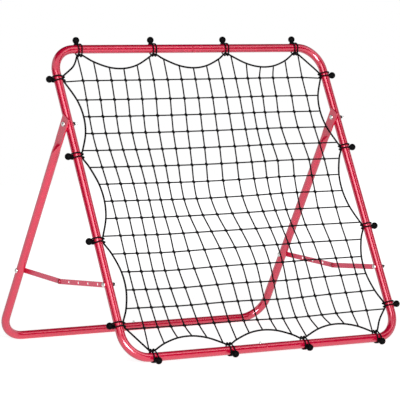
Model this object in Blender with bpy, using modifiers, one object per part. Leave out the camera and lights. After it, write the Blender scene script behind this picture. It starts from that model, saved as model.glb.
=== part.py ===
"""Soccer rebounder: a square net frame that leans back on a folding U-shaped leg.

Metres, +Z up, the net faces -Y. The origin is on the floor, below the middle of the whole rebounder.
The net frame's own axes are X along the bars, Y back through the net and Z up the slope.
"""
import math

import bmesh
import bpy
from mathutils import Matrix, Vector

# Tubes
TUBE_D = 0.025
TUBE_WALL = 0.0012
TUBE_SIDES = 12
BEND_R = 0.075
BEND_STEPS = 5
FRAME_SIZE = 0.960
FRAME_TILT = math.radians(25.6)

# Plug joints in the tubes
JOINT_OFFSET = 0.0095
REAR_JOINT_OFFSET = 0.016
SPIGOT_LENGTH = 0.060
SPIGOT_TAPER = 0.003

# Folding leg
PIVOT_UP = 0.7034
LEG_LENGTH = 0.7457
LUG_THICK = 0.005
LUG_WIDTH = 0.036
LUG_ABOVE = 0.024
LUG_BELOW = 0.047
LUG_FADE = 0.100
PRESS_ROWS = (0, 0.3, 0.7, 1)
BORE_TIP = 0.25

# Brace straps
BRACE_FRONT_UP = 0.2188
BRACE_LEG_DOWN = 0.5055
STRAP_WIDTH = 0.015
STRAP_THICK = 0.002
STRAP_END_PITCH = 0.036
STRAP_HOLES = 6
STRAP_HOLE_D = 0.008
PLAIN_STRAP_PITCH = 0.216
BRACE_SLACK = 0.00076

# Bolts and nuts
BOLT_D = 0.006
HEAD_D = 0.0146
HEAD_H = 0.0045
HEAD_DOME = ((0, 1), (0.42, 0.93), (0.78, 0.66), (1, 0.18))
NUT_ACROSS = 0.010
NUT_H = 0.0045
COLLAR_D = 0.009
COLLAR_H = 0.002
THREAD_END = 0.008
KNEE_THREAD_END = 0.0048

# Snap buttons
BUTTON_D = 0.006
BUTTON_OUT = 0.005
BUTTON_FLANGE_D = 0.008
BUTTON_FLANGE_H = 0.001
FRONT_BUTTON_IN = 0.0145
REAR_BUTTON_IN = 0.019
SPRING_WIDTH = 0.007
SPRING_THICK = 0.0005
SPRING_LENGTH = 0.038
SPRING_PAST = 0.0045
SPRING_BEND_R = 0.0015

# Net
TWINE_D = 0.0026
ROPE_D = 0.004
NET_COLUMNS = 17
NET_ROWS = 15
NET_IN_SIDE = 0.0835
NET_IN_TOP = 0.0988
NET_IN_BOTTOM = 0.094
NET_END_PITCH = 0.0597
SLACK = (
    (-0.22, 0.23, 0.14, 0.18, -0.021, 0.014),
    (0.14, 0.13, 0.16, 0.11, -0.006, 0.018),
    (-0.02, 0.46, 0.21, 0.14, -0.048, 0.011),
    (-0.15, 0.66, 0.29, 0.13, -0.024, 0.005),
    (0.26, 0.48, 0.09, 0.38, -0.036, -0.003),
    (0.31, 0.385, 0.08, 0.07, -0.011, 0.0),
    (0.27, 0.57, 0.09, 0.05, 0.011, 0.0),
    (0.31, 0.70, 0.09, 0.07, -0.007, 0.0),
    (-0.16, 0.28, 0.09, 0.05, -0.006, 0.0),
)

# Ball ties: the outer ones stand off the tube's bends, and the inner ones are placed from the middle
TOP_TIE_IN_LEFT = 0.0155
TOP_TIE_IN_RIGHT = 0.0115
BOTTOM_TIE_IN_LEFT = 0.0115
BOTTOM_TIE_IN_RIGHT = 0.0035
SIDE_TIE_IN_TOP = 0.018
SIDE_TIE_IN_BOTTOM = 0.024
TOP_TIE_LEFT = 0.125
TOP_TIE_RIGHT = 0.129
BOTTOM_TIE_LEFT = 0.1265
BOTTOM_TIE_RIGHT = 0.1295
SIDE_TIE_UPPER = 0.1365
SIDE_TIE_LOWER = 0.1195

# Elastic loops, balls and the border rope
ROPE_IN_TOP = 0.0183
ROPE_IN_BOTTOM = 0.018
ROPE_IN_SIDE = 0.0168
ROPE_SAG_TOP = 0.044
ROPE_SAG_BOTTOM = 0.034
ROPE_SAG_SIDE = 0.037
TIE_CORD_D = 0.0035
STRAND_PITCH = 0.010
BALL_D = 0.020
BALL_OUT = 0.028
NECK_D = 0.0105
BALL_STEPS = 8
HOOK_START = 0.8
HOOK_RETURN = 0.9
HOOK_SPREAD = 0.9
HOOK = ((2, 0.3), (1, 0.9), (0, 1.1))

# Clearances
GAP = 0.0003
LAP_GAP = 0.0003
STRAP_GAP = 0.0005
HOLE_GAP = 0.0003
SOCKET_GAP = 0.0003
FLOOR_GAP = 0.0001
TIE_CLEAR = 0.0115

TUBE_R = TUBE_D / 2
HALF = (FRAME_SIZE - TUBE_D) / 2
FRAME_SPAN = FRAME_SIZE - TUBE_D
TUBE_FLAT = TUBE_R * math.cos(math.pi / TUBE_SIDES)
BORE_R = TUBE_R - TUBE_WALL
SPIGOT_R = BORE_R - SOCKET_GAP
CORD_TRACK = TUBE_R + GAP + TIE_CORD_D / 2
CORD_LAYER = TIE_CORD_D + GAP
ROPE_LEVEL = (STRAND_PITCH + CORD_LAYER) / 2
NECK_TRACK = NECK_D / 2 + GAP + TIE_CORD_D / 2
CORD_PITCH = math.radians(38.5)
NECK_PITCH = math.radians(50)
FRONT_BAR_Z = (CORD_TRACK + TIE_CORD_D / 2) / math.cos(CORD_PITCH / 2) + FLOOR_GAP
REAR_BAR_Z = TUBE_FLAT
LEG_SHIFT = -(TUBE_R + GAP + LUG_THICK / 2)
HEXAGON_D = NUT_ACROSS / math.cos(math.pi / 6)
TO_LEFT = (0, -math.pi / 2, 0)

# Where the net and its ties are, along each side
STRAIGHT = HALF - BEND_R
MIDDLE = FRAME_SPAN / 2
TIES_TOP = (TOP_TIE_IN_LEFT - STRAIGHT, -TOP_TIE_LEFT, TOP_TIE_RIGHT, STRAIGHT - TOP_TIE_IN_RIGHT)
TIES_BOTTOM = (BOTTOM_TIE_IN_LEFT - STRAIGHT, -BOTTOM_TIE_LEFT,
               BOTTOM_TIE_RIGHT, STRAIGHT - BOTTOM_TIE_IN_RIGHT)
TIES_SIDE = (MIDDLE + STRAIGHT - SIDE_TIE_IN_TOP, MIDDLE + SIDE_TIE_UPPER,
             MIDDLE - SIDE_TIE_LOWER, MIDDLE - STRAIGHT + SIDE_TIE_IN_BOTTOM)
NET_LEFT = NET_IN_SIDE - HALF
NET_PITCH = -2 * NET_LEFT / (NET_COLUMNS - 1)
NET_TOP = FRAME_SPAN - NET_IN_TOP
NET_ROW_PITCH = (NET_TOP - NET_IN_BOTTOM - 2 * NET_END_PITCH) / (NET_ROWS - 3)

# Heights and depths in the YZ plane, first from the front bar and then from the origin
PIVOT_DROP = FRONT_BAR_Z + PIVOT_UP * math.cos(FRAME_TILT) - REAR_BAR_Z
LEG_ANGLE = math.acos(PIVOT_DROP / LEG_LENGTH)
REAR_BAR_BACK = PIVOT_UP * math.sin(FRAME_TILT) + LEG_LENGTH * math.sin(LEG_ANGLE)
BALL_DROP = math.asin((FRONT_BAR_Z - BALL_D / 2 - FLOOR_GAP) / BALL_OUT)
BALL_REACH = BALL_OUT * math.cos(BALL_DROP) + BALL_D / 2
FRONT_BAR_Y = -(REAR_BAR_BACK + TUBE_FLAT - BALL_REACH) / 2
BOTTOM_BALL_ANGLE = math.pi / 2 + BALL_DROP + FRAME_TILT


def clear_scene():
    for item in list(bpy.data.objects):
        bpy.data.objects.remove(item, do_unlink=True)


def new_collection(name):
    group = bpy.data.collections.new(name)
    bpy.context.scene.collection.children.link(group)
    return group


def material(name, colour, roughness, metallic):
    made = bpy.data.materials.new(name)
    made.use_nodes = True
    shader = made.node_tree.nodes["Principled BSDF"]
    shader.inputs["Base Color"].default_value = (*colour, 1.0)
    shader.inputs["Roughness"].default_value = roughness
    shader.inputs["Metallic"].default_value = metallic
    return made


def slope_point(along, back, up):
    """World place of a point given in the net frame's axes."""
    cos, sin = math.cos(FRAME_TILT), math.sin(FRAME_TILT)
    return Vector((along, FRONT_BAR_Y + back * cos + up * sin, FRONT_BAR_Z - back * sin + up * cos))


def leg_point(across, down):
    """World place of a point on the legs' plane, measured down from the pivot."""
    pivot = slope_point(0, 0, PIVOT_UP)
    cos, sin = math.cos(LEG_ANGLE), math.sin(LEG_ANGLE)
    return Vector((across, pivot.y + down * sin, pivot.z - down * cos))


def axes_empty(name, group, place, turn):
    empty = bpy.data.objects.new(name, None)
    empty.location = place
    empty.rotation_euler = (turn, 0, 0)
    empty.empty_display_size = 0.05
    group.objects.link(empty)
    return empty


def add_object(name, data, group, finish, parent=None, place=(0, 0, 0), turn=(0, 0, 0)):
    item = bpy.data.objects.new(name, data)
    item.location = place
    item.rotation_euler = turn
    item.parent = parent
    group.objects.link(item)
    if finish is not None and len(data.materials) == 0:
        data.materials.append(finish)
    return item


def smooth(item, angle=40):
    item.data.shade_smooth()
    item.data.set_sharp_from_angle(angle=math.radians(angle))


def cutter_look(item):
    item.hide_render = True
    item.display_type = "WIRE"


def cut(item, cutter, operation="DIFFERENCE"):
    change = item.modifiers.new(cutter.name, "BOOLEAN")
    change.operation = operation
    change.solver = "EXACT"
    change.object = cutter


def rounded_path(corners, radius, steps):
    """Corner points joined by straight runs, with each inner corner rounded to a radius."""
    path = [Vector(corners[0])]
    for before, corner, after in zip(corners, corners[1:], corners[2:]):
        corner = Vector(corner)
        back = (Vector(before) - corner).normalized()
        ahead = (Vector(after) - corner).normalized()
        half_turn = (math.pi - back.angle(ahead)) / 2
        middle = corner + (back + ahead).normalized() * (radius / math.cos(half_turn))
        for step in range(steps + 1):
            swing = half_turn * (2 * step / steps - 1)
            toward = (corner - middle).normalized()
            side = (ahead - back).normalized()
            path.append(middle + (toward * math.cos(swing) + side * math.sin(swing)) * radius)
    path.append(Vector(corners[-1]))
    return path


def line_curve(name, points, depth, resolution, sizes=None, cyclic=False, turn=0.0, capped=True):
    """A tube or cord along the points, with a size factor for each point where it narrows."""
    curve = bpy.data.curves.new(name, "CURVE")
    curve.dimensions = "3D"
    curve.bevel_depth = depth
    curve.bevel_resolution = resolution
    curve.use_fill_caps = capped
    line = curve.splines.new("POLY")
    line.points.add(len(points) - 1)
    for number, (knot, point) in enumerate(zip(line.points, points)):
        knot.co = (*point, 1.0)
        knot.tilt = turn
        knot.radius = sizes[number] if sizes else 1.0
    line.use_cyclic_u = cyclic
    return curve


def curve_mesh(curve):
    """The curve as a mesh with its caps welded; the curve is removed."""
    holder = bpy.data.objects.new(curve.name, curve)
    bpy.context.scene.collection.objects.link(holder)
    depsgraph = bpy.context.evaluated_depsgraph_get()
    mesh = bpy.data.meshes.new_from_object(holder.evaluated_get(depsgraph))
    bpy.data.objects.remove(holder, do_unlink=True)
    bpy.data.curves.remove(curve)
    work = bmesh.new()
    work.from_mesh(mesh)
    bmesh.ops.remove_doubles(work, verts=work.verts, dist=1e-6)
    work.to_mesh(mesh)
    work.free()
    return mesh


def tube_mesh(name, points, radius, sizes=None, turn=0.0, capped=True):
    return curve_mesh(line_curve(name, points, radius, TUBE_SIDES // 2 - 2, sizes, False, turn, capped))


def add_drill(work, place, direction, diameter, length, steps=12):
    """A cylinder in a cutter mesh, centred on a place and running along a direction."""
    spin = Vector((0, 0, 1)).rotation_difference(Vector(direction)).to_matrix().to_4x4()
    bmesh.ops.create_cone(
        work, cap_ends=True, segments=steps, radius1=diameter / 2, radius2=diameter / 2,
        depth=length, matrix=Matrix.Translation(place) @ spin)


def drill_object(name, group, parent, drills):
    """One cutter holding every drilled hole of a tube: place, direction, diameter, length."""
    work = bmesh.new()
    for place, direction, diameter, length in drills:
        add_drill(work, place, direction, diameter, length)
    mesh = bpy.data.meshes.new(name)
    work.to_mesh(mesh)
    work.free()
    item = add_object(name, mesh, group, None, parent)
    cutter_look(item)
    return item


def facet_turn(floor_angle):
    """How far the tube's facets turn so that one of them lies flat at the given angle."""
    pitch = 2 * math.pi / TUBE_SIDES
    return floor_angle % pitch - pitch / 2


def spigot_ends(path, at_start, at_end):
    """Adds a plug to the ends asked for, and gives the size factor of each point.

    The tube's shoulder tapers over SPIGOT_TAPER, and the plug runs on past the joint.
    """
    sizes = [1.0] * len(path)
    small = SPIGOT_R / TUBE_R
    if at_start:
        outward = (path[0] - path[1]).normalized()
        joint = path[0].copy()
        path[0] = joint - outward * SPIGOT_TAPER
        path[:0] = [joint + outward * SPIGOT_LENGTH, joint]
        sizes[:0] = [small, small]
    if at_end:
        outward = (path[-1] - path[-2]).normalized()
        joint = path[-1].copy()
        path[-1] = joint - outward * SPIGOT_TAPER
        path.extend([joint, joint + outward * SPIGOT_LENGTH])
        sizes.extend([small, small])
    return path, sizes


def bolt_drills(side_x, heights):
    hole = BOLT_D + 2 * HOLE_GAP
    return [((side_x, 0, height), (1, 0, 0), hole, TUBE_D * 1.6) for height in heights]


def button_drill(centre, tilt):
    """The snap button's hole, through the upper wall only, upright in the world."""
    up = Vector((0, -math.sin(tilt), math.cos(tilt)))
    middle = Vector(centre) + up * TUBE_R
    return middle, up, BUTTON_D + 2 * HOLE_GAP, TUBE_R


def front_half(name, group, cutters, parent, finish, side):
    """One C-shaped half of the net frame. Its plug is at the top on the left, at the bottom on the right."""
    joint_x = JOINT_OFFSET if side < 0 else -JOINT_OFFSET
    open_x = -joint_x + side * GAP
    if side < 0:
        corners = [(joint_x, 0, FRAME_SPAN), (-HALF, 0, FRAME_SPAN), (-HALF, 0, 0), (open_x, 0, 0)]
    else:
        corners = [(joint_x, 0, 0), (HALF, 0, 0), (HALF, 0, FRAME_SPAN), (open_x, 0, FRAME_SPAN)]
    path, sizes = spigot_ends(rounded_path(corners, BEND_R, BEND_STEPS), True, False)
    mesh = tube_mesh(name, path, TUBE_R, sizes, facet_turn(FRAME_TILT), capped=False)
    half = add_object(name, mesh, group, finish, parent)
    wall = half.modifiers.new("wall", "SOLIDIFY")
    wall.thickness = TUBE_WALL
    wall.offset = -1
    wall.use_even_offset = True
    drills = bolt_drills(side * HALF, (PIVOT_UP, BRACE_FRONT_UP))
    drills.append(button_drill((-JOINT_OFFSET - FRONT_BUTTON_IN, 0, 0), FRAME_TILT))
    cut(half, drill_object(name + "_holes", cutters, parent, drills))
    smooth(half)
    return half


def press_lug(mesh, leg_x):
    """Presses the top of a round leg into a flat lug: round at LUG_FADE, flat from LUG_BELOW up."""
    for vertex in mesh.vertices:
        below = -vertex.co.z
        if below > LUG_FADE:
            continue
        press = min(1.0, (LUG_FADE - below) / (LUG_FADE - LUG_BELOW))
        press = press * press * (3 - 2 * press)
        across = (vertex.co.x - leg_x) / TUBE_R
        flat = max(-1.0, min(1.0, across / math.sin(2 * math.pi / TUBE_SIDES))) * LUG_THICK / 2
        vertex.co.x = leg_x + (1 - press) * across * TUBE_R + press * flat
        vertex.co.y *= 1 + press * (LUG_WIDTH / TUBE_D - 1)


def rear_half(name, group, cutters, parent, finish, side):
    """One L-shaped half of the folding leg: a side leg with its flat lug, and half of the rear bar."""
    leg_x = side * HALF + LEG_SHIFT
    joint_x = REAR_JOINT_OFFSET + LEG_SHIFT
    bar = -LEG_LENGTH
    press_rows = [(leg_x, 0, -LUG_BELOW - (LUG_FADE - LUG_BELOW) * share) for share in PRESS_ROWS]
    top = (leg_x, 0, LUG_ABOVE)
    if side < 0:
        bend = rounded_path([(leg_x, 0, 0), (leg_x, 0, bar), (joint_x - GAP, 0, bar)], BEND_R, BEND_STEPS)
        path = [Vector(top)] + [Vector(row) for row in press_rows] + bend[1:]
        sizes = [1.0] * len(path)
    else:
        bend = rounded_path([(joint_x, 0, bar), (leg_x, 0, bar), (leg_x, 0, 0)], BEND_R, BEND_STEPS)
        path = bend[:-1] + [Vector(row) for row in reversed(press_rows)] + [Vector(top)]
        path, sizes = spigot_ends(path, True, False)
    turn = facet_turn(-LEG_ANGLE)
    mesh = tube_mesh(name, path, TUBE_R, sizes, turn)
    press_lug(mesh, leg_x)
    half = add_object(name, mesh, group, finish, parent)

    bore_top = (leg_x, 0, -LUG_FADE * 0.75)
    if side < 0:
        bore_path = [Vector(bore_top), Vector(press_rows[-1])] + bend[1:-1]
        bore_path.append(bend[-1] + Vector((TUBE_D, 0, 0)))
        bore_sizes = [BORE_TIP] + [BORE_R / TUBE_R] * (len(bore_path) - 1)
    else:
        bore_path = [path[0] - Vector((TUBE_D, 0, 0))] + path[1:-len(press_rows) - 1]
        bore_path += [Vector(press_rows[-1]), Vector(bore_top)]
        inner = [(size * TUBE_R - TUBE_WALL) / TUBE_R for size in sizes[:len(bore_path) - 2]]
        bore_sizes = inner + [BORE_R / TUBE_R, BORE_TIP]
    bore = tube_mesh(name + "_bore", bore_path, TUBE_R, bore_sizes, turn)
    bore_cutter = add_object(name + "_bore", bore, cutters, None, parent)
    cutter_look(bore_cutter)
    cut(half, bore_cutter)

    drills = bolt_drills(leg_x, (0, -BRACE_LEG_DOWN))
    drills.append(button_drill((joint_x - REAR_BUTTON_IN, 0, bar), -LEG_ANGLE))
    cut(half, drill_object(name + "_holes", cutters, parent, drills))
    smooth(half)
    return half


def turned(name, profile, steps, group, finish, parent, place, turn):
    """A solid of revolution about its local Z, from a profile of (radius, height) points, top first."""
    mesh = bpy.data.meshes.new(name)
    work = bmesh.new()
    points = [work.verts.new((radius, 0, height)) for radius, height in profile]
    for first, second in zip(points, points[1:]):
        work.edges.new((first, second))
    work.to_mesh(mesh)
    work.free()
    item = add_object(name, mesh, group, finish, parent, place, turn)
    lathe = item.modifiers.new("lathe", "SCREW")
    lathe.axis = "Z"
    lathe.steps = steps
    lathe.render_steps = steps
    lathe.use_merge_vertices = True
    lathe.merge_threshold = 0.00001
    lathe.use_smooth_shade = True
    return item


def bolt_profile(shank):
    head_r = HEAD_D / 2
    dome = [(head_r * across, HEAD_H * height) for across, height in HEAD_DOME]
    return dome + [(head_r, 0), (BOLT_D / 2, 0), (BOLT_D / 2, -shank), (0, -shank)]


def bolt(name, group, finish, parent, seat, shank):
    """A bolt along X with its domed head on the left; seat is the middle of the head's underside."""
    return turned(name, bolt_profile(shank), 12, group, finish, parent, seat, TO_LEFT)


def cylinder_object(name, group, finish, parent, place, diameter, length, steps):
    """A cylinder or prism along X that starts at its place and runs to the right."""
    work = bmesh.new()
    add_drill(work, (length / 2, 0, 0), (1, 0, 0), diameter, length, steps)
    mesh = bpy.data.meshes.new(name)
    work.to_mesh(mesh)
    work.free()
    return add_object(name, mesh, group, finish, parent, place)


def add_collar(item, name, cutters, parent, seat):
    """Joins the round collar of a lock nut onto its hexagon."""
    inside = NUT_H / 2
    place = Vector(seat) + Vector((NUT_H - inside, 0, 0))
    collar = cylinder_object(name + "_collar", cutters, None, parent, place, COLLAR_D, inside + COLLAR_H, 12)
    cutter_look(collar)
    cut(item, collar, "UNION")


def nut(name, group, cutters, finish, parent, seat, stub=None):
    """A lock nut along X on the right of its seat, with its bolt's hole or with the bolt's end in it."""
    item = cylinder_object(name, group, finish, parent, seat, HEXAGON_D, NUT_H, 6)
    add_collar(item, name, cutters, parent, seat)
    if stub is None:
        start = Vector(seat) - Vector((NUT_ACROSS, 0, 0))
        shaft = cylinder_object(name + "_hole", cutters, None, parent, start, BOLT_D + 2 * HOLE_GAP,
                                NUT_ACROSS * 3, 12)
    else:
        start = Vector(seat) - Vector((stub, 0, 0))
        length = stub + NUT_H + COLLAR_H + KNEE_THREAD_END
        shaft = cylinder_object(name + "_stub", cutters, None, parent, start, BOLT_D, length, 12)
    cutter_look(shaft)
    cut(item, shaft, "DIFFERENCE" if stub is None else "UNION")
    smooth(item)
    return item


def nutted_bolt(name, group, cutters, finish, parent, seat, shank):
    """A bolt along X with its lock nut run up on it, as one solid."""
    item = bolt(name, group, finish, parent, seat, shank)
    nut_seat = Vector(seat) + Vector((shank - THREAD_END - COLLAR_H - NUT_H, 0, 0))
    hexagon = cylinder_object(name + "_nut", cutters, None, parent, nut_seat, HEXAGON_D, NUT_H, 6)
    cutter_look(hexagon)
    cut(item, hexagon, "UNION")
    add_collar(item, name, cutters, parent, nut_seat)
    return item


def circle_points(radius, steps, centre=(0, 0)):
    turns = [2 * math.pi * step / steps for step in range(steps)]
    return [(centre[0] + radius * math.cos(turn), centre[1] + radius * math.sin(turn)) for turn in turns]


def strap(name, group, finish, holes, start, end):
    """A flat strap with round ends, a hole at each distance, from the first hole's place to the last's."""
    curve = bpy.data.curves.new(name, "CURVE")
    curve.dimensions = "2D"
    curve.fill_mode = "BOTH"
    curve.extrude = STRAP_THICK / 2
    radius = STRAP_WIDTH / 2
    steps = 5
    outline = []
    for centre, first in ((holes[-1], -math.pi / 2), (holes[0], math.pi / 2)):
        for step in range(steps + 1):
            turn = first + math.pi * step / steps
            outline.append((centre + radius * math.cos(turn), radius * math.sin(turn)))
    loops = [outline] + [circle_points(STRAP_HOLE_D / 2, 8, (hole, 0)) for hole in holes]
    for points in loops:
        line = curve.splines.new("POLY")
        line.points.add(len(points) - 1)
        for knot, (x, y) in zip(line.points, points):
            knot.co = (x, y, 0, 1)
        line.use_cyclic_u = True
    item = add_object(name, curve, group, finish, None)
    along = (end - start).normalized()
    thick = (Vector((1, 0, 0)) - along * along.x).normalized()
    across = thick.cross(along)
    item.location = start
    item.rotation_euler = Matrix((along, across, thick)).transposed().to_euler()
    return item


def knee_place(front, rear, front_length, rear_length):
    """Where two straps of given lengths meet below the line between their anchors, in the YZ plane."""
    run = rear - front
    span = run.length
    near = (front_length ** 2 - rear_length ** 2 + span ** 2) / (2 * span)
    drop = math.sqrt(front_length ** 2 - near ** 2)
    run.normalize()
    return front + run * near + Vector((0, run.z, -run.y)) * drop


def braces(side, word, group, cutters, frames, finishes):
    """Both straps of one side, with their bolts and nuts.

    The straps sit on the left of the net frame and on the right of the legs. On the left the
    perforated strap is the front one, on the right it is the rear one.
    """
    front_axes, leg_axes = frames
    red, bright, dark = finishes
    front = slope_point(0, 0, BRACE_FRONT_UP)
    rear = leg_point(0, BRACE_LEG_DOWN)
    front_x = side * HALF - TUBE_R - STRAP_GAP - STRAP_THICK / 2
    rear_x = side * HALF + LEG_SHIFT + TUBE_R + STRAP_GAP + STRAP_THICK / 2
    perforated_pitch = (rear - front).length + BRACE_SLACK - PLAIN_STRAP_PITCH
    front_length = perforated_pitch if side < 0 else PLAIN_STRAP_PITCH
    rear_length = PLAIN_STRAP_PITCH if side < 0 else perforated_pitch
    knee = knee_place(front, rear, front_length, rear_length)
    share = front_length / (front_length + rear_length)
    knee_x = front_x + (rear_x - front_x) * share
    lap = STRAP_THICK / 2 + LAP_GAP / 2
    hole_pitch = (perforated_pitch - STRAP_END_PITCH) / (STRAP_HOLES - 2)
    perforated = [0.0] + [STRAP_END_PITCH + hole_pitch * step for step in range(STRAP_HOLES - 1)]
    plain = [0.0, PLAIN_STRAP_PITCH]
    front_holes, rear_holes = (perforated, plain) if side < 0 else (plain, perforated)
    front_name = ("perforated_strap_" if side < 0 else "plain_strap_") + word
    rear_name = ("plain_strap_" if side < 0 else "perforated_strap_") + word

    def at(place, x):
        return Vector((x, place.y, place.z))

    strap(front_name, group, red, front_holes, at(front, front_x), at(knee, knee_x - lap))
    strap(rear_name, group, red, rear_holes, at(rear, rear_x), at(knee, knee_x + lap))

    pivot_seat = (side * HALF - TUBE_R - GAP - LUG_THICK - GAP, 0, PIVOT_UP)
    pivot_shank = 2 * GAP + LUG_THICK + TUBE_D + GAP + NUT_H + COLLAR_H + THREAD_END
    bolt("pivot_bolt_" + word, group, bright, front_axes, pivot_seat, pivot_shank)
    pivot_nut_seat = (side * HALF + TUBE_R + GAP, 0, PIVOT_UP)
    nut("pivot_nut_" + word, group, cutters, dark, front_axes, pivot_nut_seat)
    brace_shank = TUBE_D + STRAP_THICK + 2 * STRAP_GAP + GAP + NUT_H + COLLAR_H + THREAD_END
    front_seat = (front_x - STRAP_THICK / 2 - STRAP_GAP, 0, BRACE_FRONT_UP)
    nutted_bolt("front_brace_bolt_" + word, group, cutters, bright, front_axes, front_seat, brace_shank)
    rear_seat = (side * HALF + LEG_SHIFT - TUBE_R - GAP, 0, -BRACE_LEG_DOWN)
    nutted_bolt("rear_brace_bolt_" + word, group, cutters, bright, leg_axes, rear_seat, brace_shank)
    head_seat = at(knee, knee_x - lap - STRAP_THICK / 2 - STRAP_GAP)
    bolt("knee_bolt_" + word, group, bright, None, head_seat, STRAP_THICK + STRAP_GAP)
    nut_seat = at(knee, knee_x + lap + STRAP_THICK / 2 + STRAP_GAP)
    stub = STRAP_THICK + STRAP_GAP
    nut("knee_nut_" + word, group, cutters, dark, None, nut_seat, stub)


def snap_button(word, group, finishes, place):
    """A domed button on a V-shaped leaf spring, inside the plug of a tube joint."""
    dark, steel = finishes
    top = TUBE_R + BUTTON_OUT
    radius = BUTTON_D / 2
    flange = BUTTON_FLANGE_D / 2
    bore_flat = (SPIGOT_R - TUBE_WALL) * math.cos(math.pi / TUBE_SIDES)
    seat = math.sqrt(bore_flat ** 2 - flange ** 2) - GAP
    base = seat - BUTTON_FLANGE_H
    profile = [(0, top), (radius * 0.55, top - radius * 0.13), (radius * 0.87, top - radius * 0.45),
               (radius, top - radius), (radius, seat), (flange, seat), (flange, base), (0, base)]
    turned("snap_button_" + word, profile, 12, group, dark, None, place, (0, 0, 0))

    half_wide = SPRING_WIDTH / 2
    upper = base - GAP - SPRING_THICK / 2
    lower = SPRING_THICK / 2 + GAP - math.sqrt(bore_flat ** 2 - half_wide ** 2)
    corners = [(SPRING_PAST, 0, upper), (-SPRING_PAST, 0, upper), (-SPRING_LENGTH, 0, lower),
               (SPRING_PAST, 0, lower)]
    line = rounded_path(corners, SPRING_BEND_R, 4)
    mesh = bpy.data.meshes.new("snap_spring_" + word)
    work = bmesh.new()
    rows = [[work.verts.new(point + Vector((0, edge, 0))) for point in line]
            for edge in (-half_wide, half_wide)]
    for step in range(len(line) - 1):
        work.faces.new((rows[0][step], rows[0][step + 1], rows[1][step + 1], rows[1][step]))
    work.to_mesh(mesh)
    work.free()
    leaf = add_object("snap_spring_" + word, mesh, group, steel, None, place)
    sheet = leaf.modifiers.new("sheet", "SOLIDIFY")
    sheet.thickness = SPRING_THICK
    sheet.offset = 0
    smooth(leaf)


def column_place(column):
    return NET_LEFT + NET_PITCH * column


def row_place(row):
    """Height of a row of knots; the first and last cells are the taller ones."""
    if row == 0:
        return NET_TOP
    last = NET_ROWS - 1
    height = NET_TOP - NET_END_PITCH - NET_ROW_PITCH * (min(row, last - 1) - 1)
    return height - NET_END_PITCH if row == last else height


def slack_at(along, up):
    """How far the hanging net has moved sideways and back at a place, from its slack pockets."""
    aside, back = 0.0, 0.0
    for middle, height, wide, tall, shift, depth in SLACK:
        weight = math.exp(-((along - middle) / wide) ** 2 - ((up - height) / tall) ** 2)
        aside += shift * weight
        back += depth * weight
    return aside, back


def clear_of_ties(place, ties):
    """A cord's end moved along the rope until it is clear of the nearest tie's loop."""
    nearest = min(ties, key=lambda tie: abs(place - tie))
    if abs(place - nearest) >= TIE_CLEAR:
        return place
    return nearest + math.copysign(TIE_CLEAR, place - nearest)


def side_spots(ties, level, sag, cords, first_corner, last_corner):
    """Points of the border rope along one side: what is there, how far along it and how far out.

    The rope lies level through each tie's loop and sags between the ties. Beyond the outer ties
    it runs straight to the last tie of the next side, given as a place and a level.
    """
    low, high = min(ties), max(ties)
    spots = []
    for tie in ties:
        spots += [("tie", 0, tie - ROPE_LEVEL, level), ("tie", 0, tie + ROPE_LEVEL, level)]
    for number, cord in enumerate(cords):
        place = clear_of_ties(cord, ties)
        if low < place < high:
            before = max(tie for tie in ties if tie < place) + ROPE_LEVEL
            after = min(tie for tie in ties if tie > place) - ROPE_LEVEL
            share = (place - before) / (after - before)
            out = level - sag * 4 * share * (1 - share)
        else:
            start = low - ROPE_LEVEL if place < low else high + ROPE_LEVEL
            corner, corner_level = first_corner if place < low else last_corner
            out = level + (corner_level - level) * (place - start) / (corner - start)
        spots.append(("cord", number, place, out))
    return sorted(spots, key=lambda spot: spot[2])


def rope_outline():
    """The border rope's points, clockwise from the top left, and the cord that ends at each one."""
    top = MIDDLE - ROPE_IN_TOP
    bottom = MIDDLE - ROPE_IN_BOTTOM
    edge = HALF - ROPE_IN_SIDE
    columns = [column_place(column) for column in range(NET_COLUMNS)]
    rows = [row_place(row) - MIDDLE for row in range(NET_ROWS)]
    side_ties = [tie - MIDDLE for tie in TIES_SIDE]
    upper = max(side_ties) + ROPE_LEVEL
    lower = min(side_ties) - ROPE_LEVEL
    over = side_spots(TIES_TOP, top, ROPE_SAG_TOP, columns, (-edge, upper), (edge, upper))
    under = side_spots(TIES_BOTTOM, bottom, ROPE_SAG_BOTTOM, columns, (-edge, -lower), (edge, -lower))
    points = [("top" if kind == "cord" else kind, cord, Vector((place, 0, MIDDLE + out)))
              for kind, cord, place, out in over]
    for side, word in ((1, "right"), (-1, "left")):
        low_tie = TIES_BOTTOM[-1] + ROPE_LEVEL if side > 0 else ROPE_LEVEL - TIES_BOTTOM[0]
        high_tie = TIES_TOP[-1] + ROPE_LEVEL if side > 0 else ROPE_LEVEL - TIES_TOP[0]
        beside = side_spots(side_ties, edge, ROPE_SAG_SIDE, rows, (-bottom, low_tie), (top, high_tie))
        run = [(word if kind == "cord" else kind, cord, Vector((side * out, 0, MIDDLE + place)))
               for kind, cord, place, out in beside]
        if side > 0:
            points += reversed(run)
            points += [("bottom" if kind == "cord" else kind, cord, Vector((place, 0, MIDDLE - out)))
                       for kind, cord, place, out in reversed(under)]
        else:
            points += run
    return points


def inset(points, number, distance):
    """A point of the closed outline moved inward, square to both of its neighbours' runs."""
    before = points[number - 1][2]
    here = points[number][2]
    after = points[(number + 1) % len(points)][2]
    first = (here - before).normalized()
    second = (after - here).normalized()
    inward = Vector((first.z, 0, -first.x)) + Vector((second.z, 0, -second.x))
    inward.normalize()
    lean = inward.dot(Vector((first.z, 0, -first.x)))
    return here + inward * (distance / lean)


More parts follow.
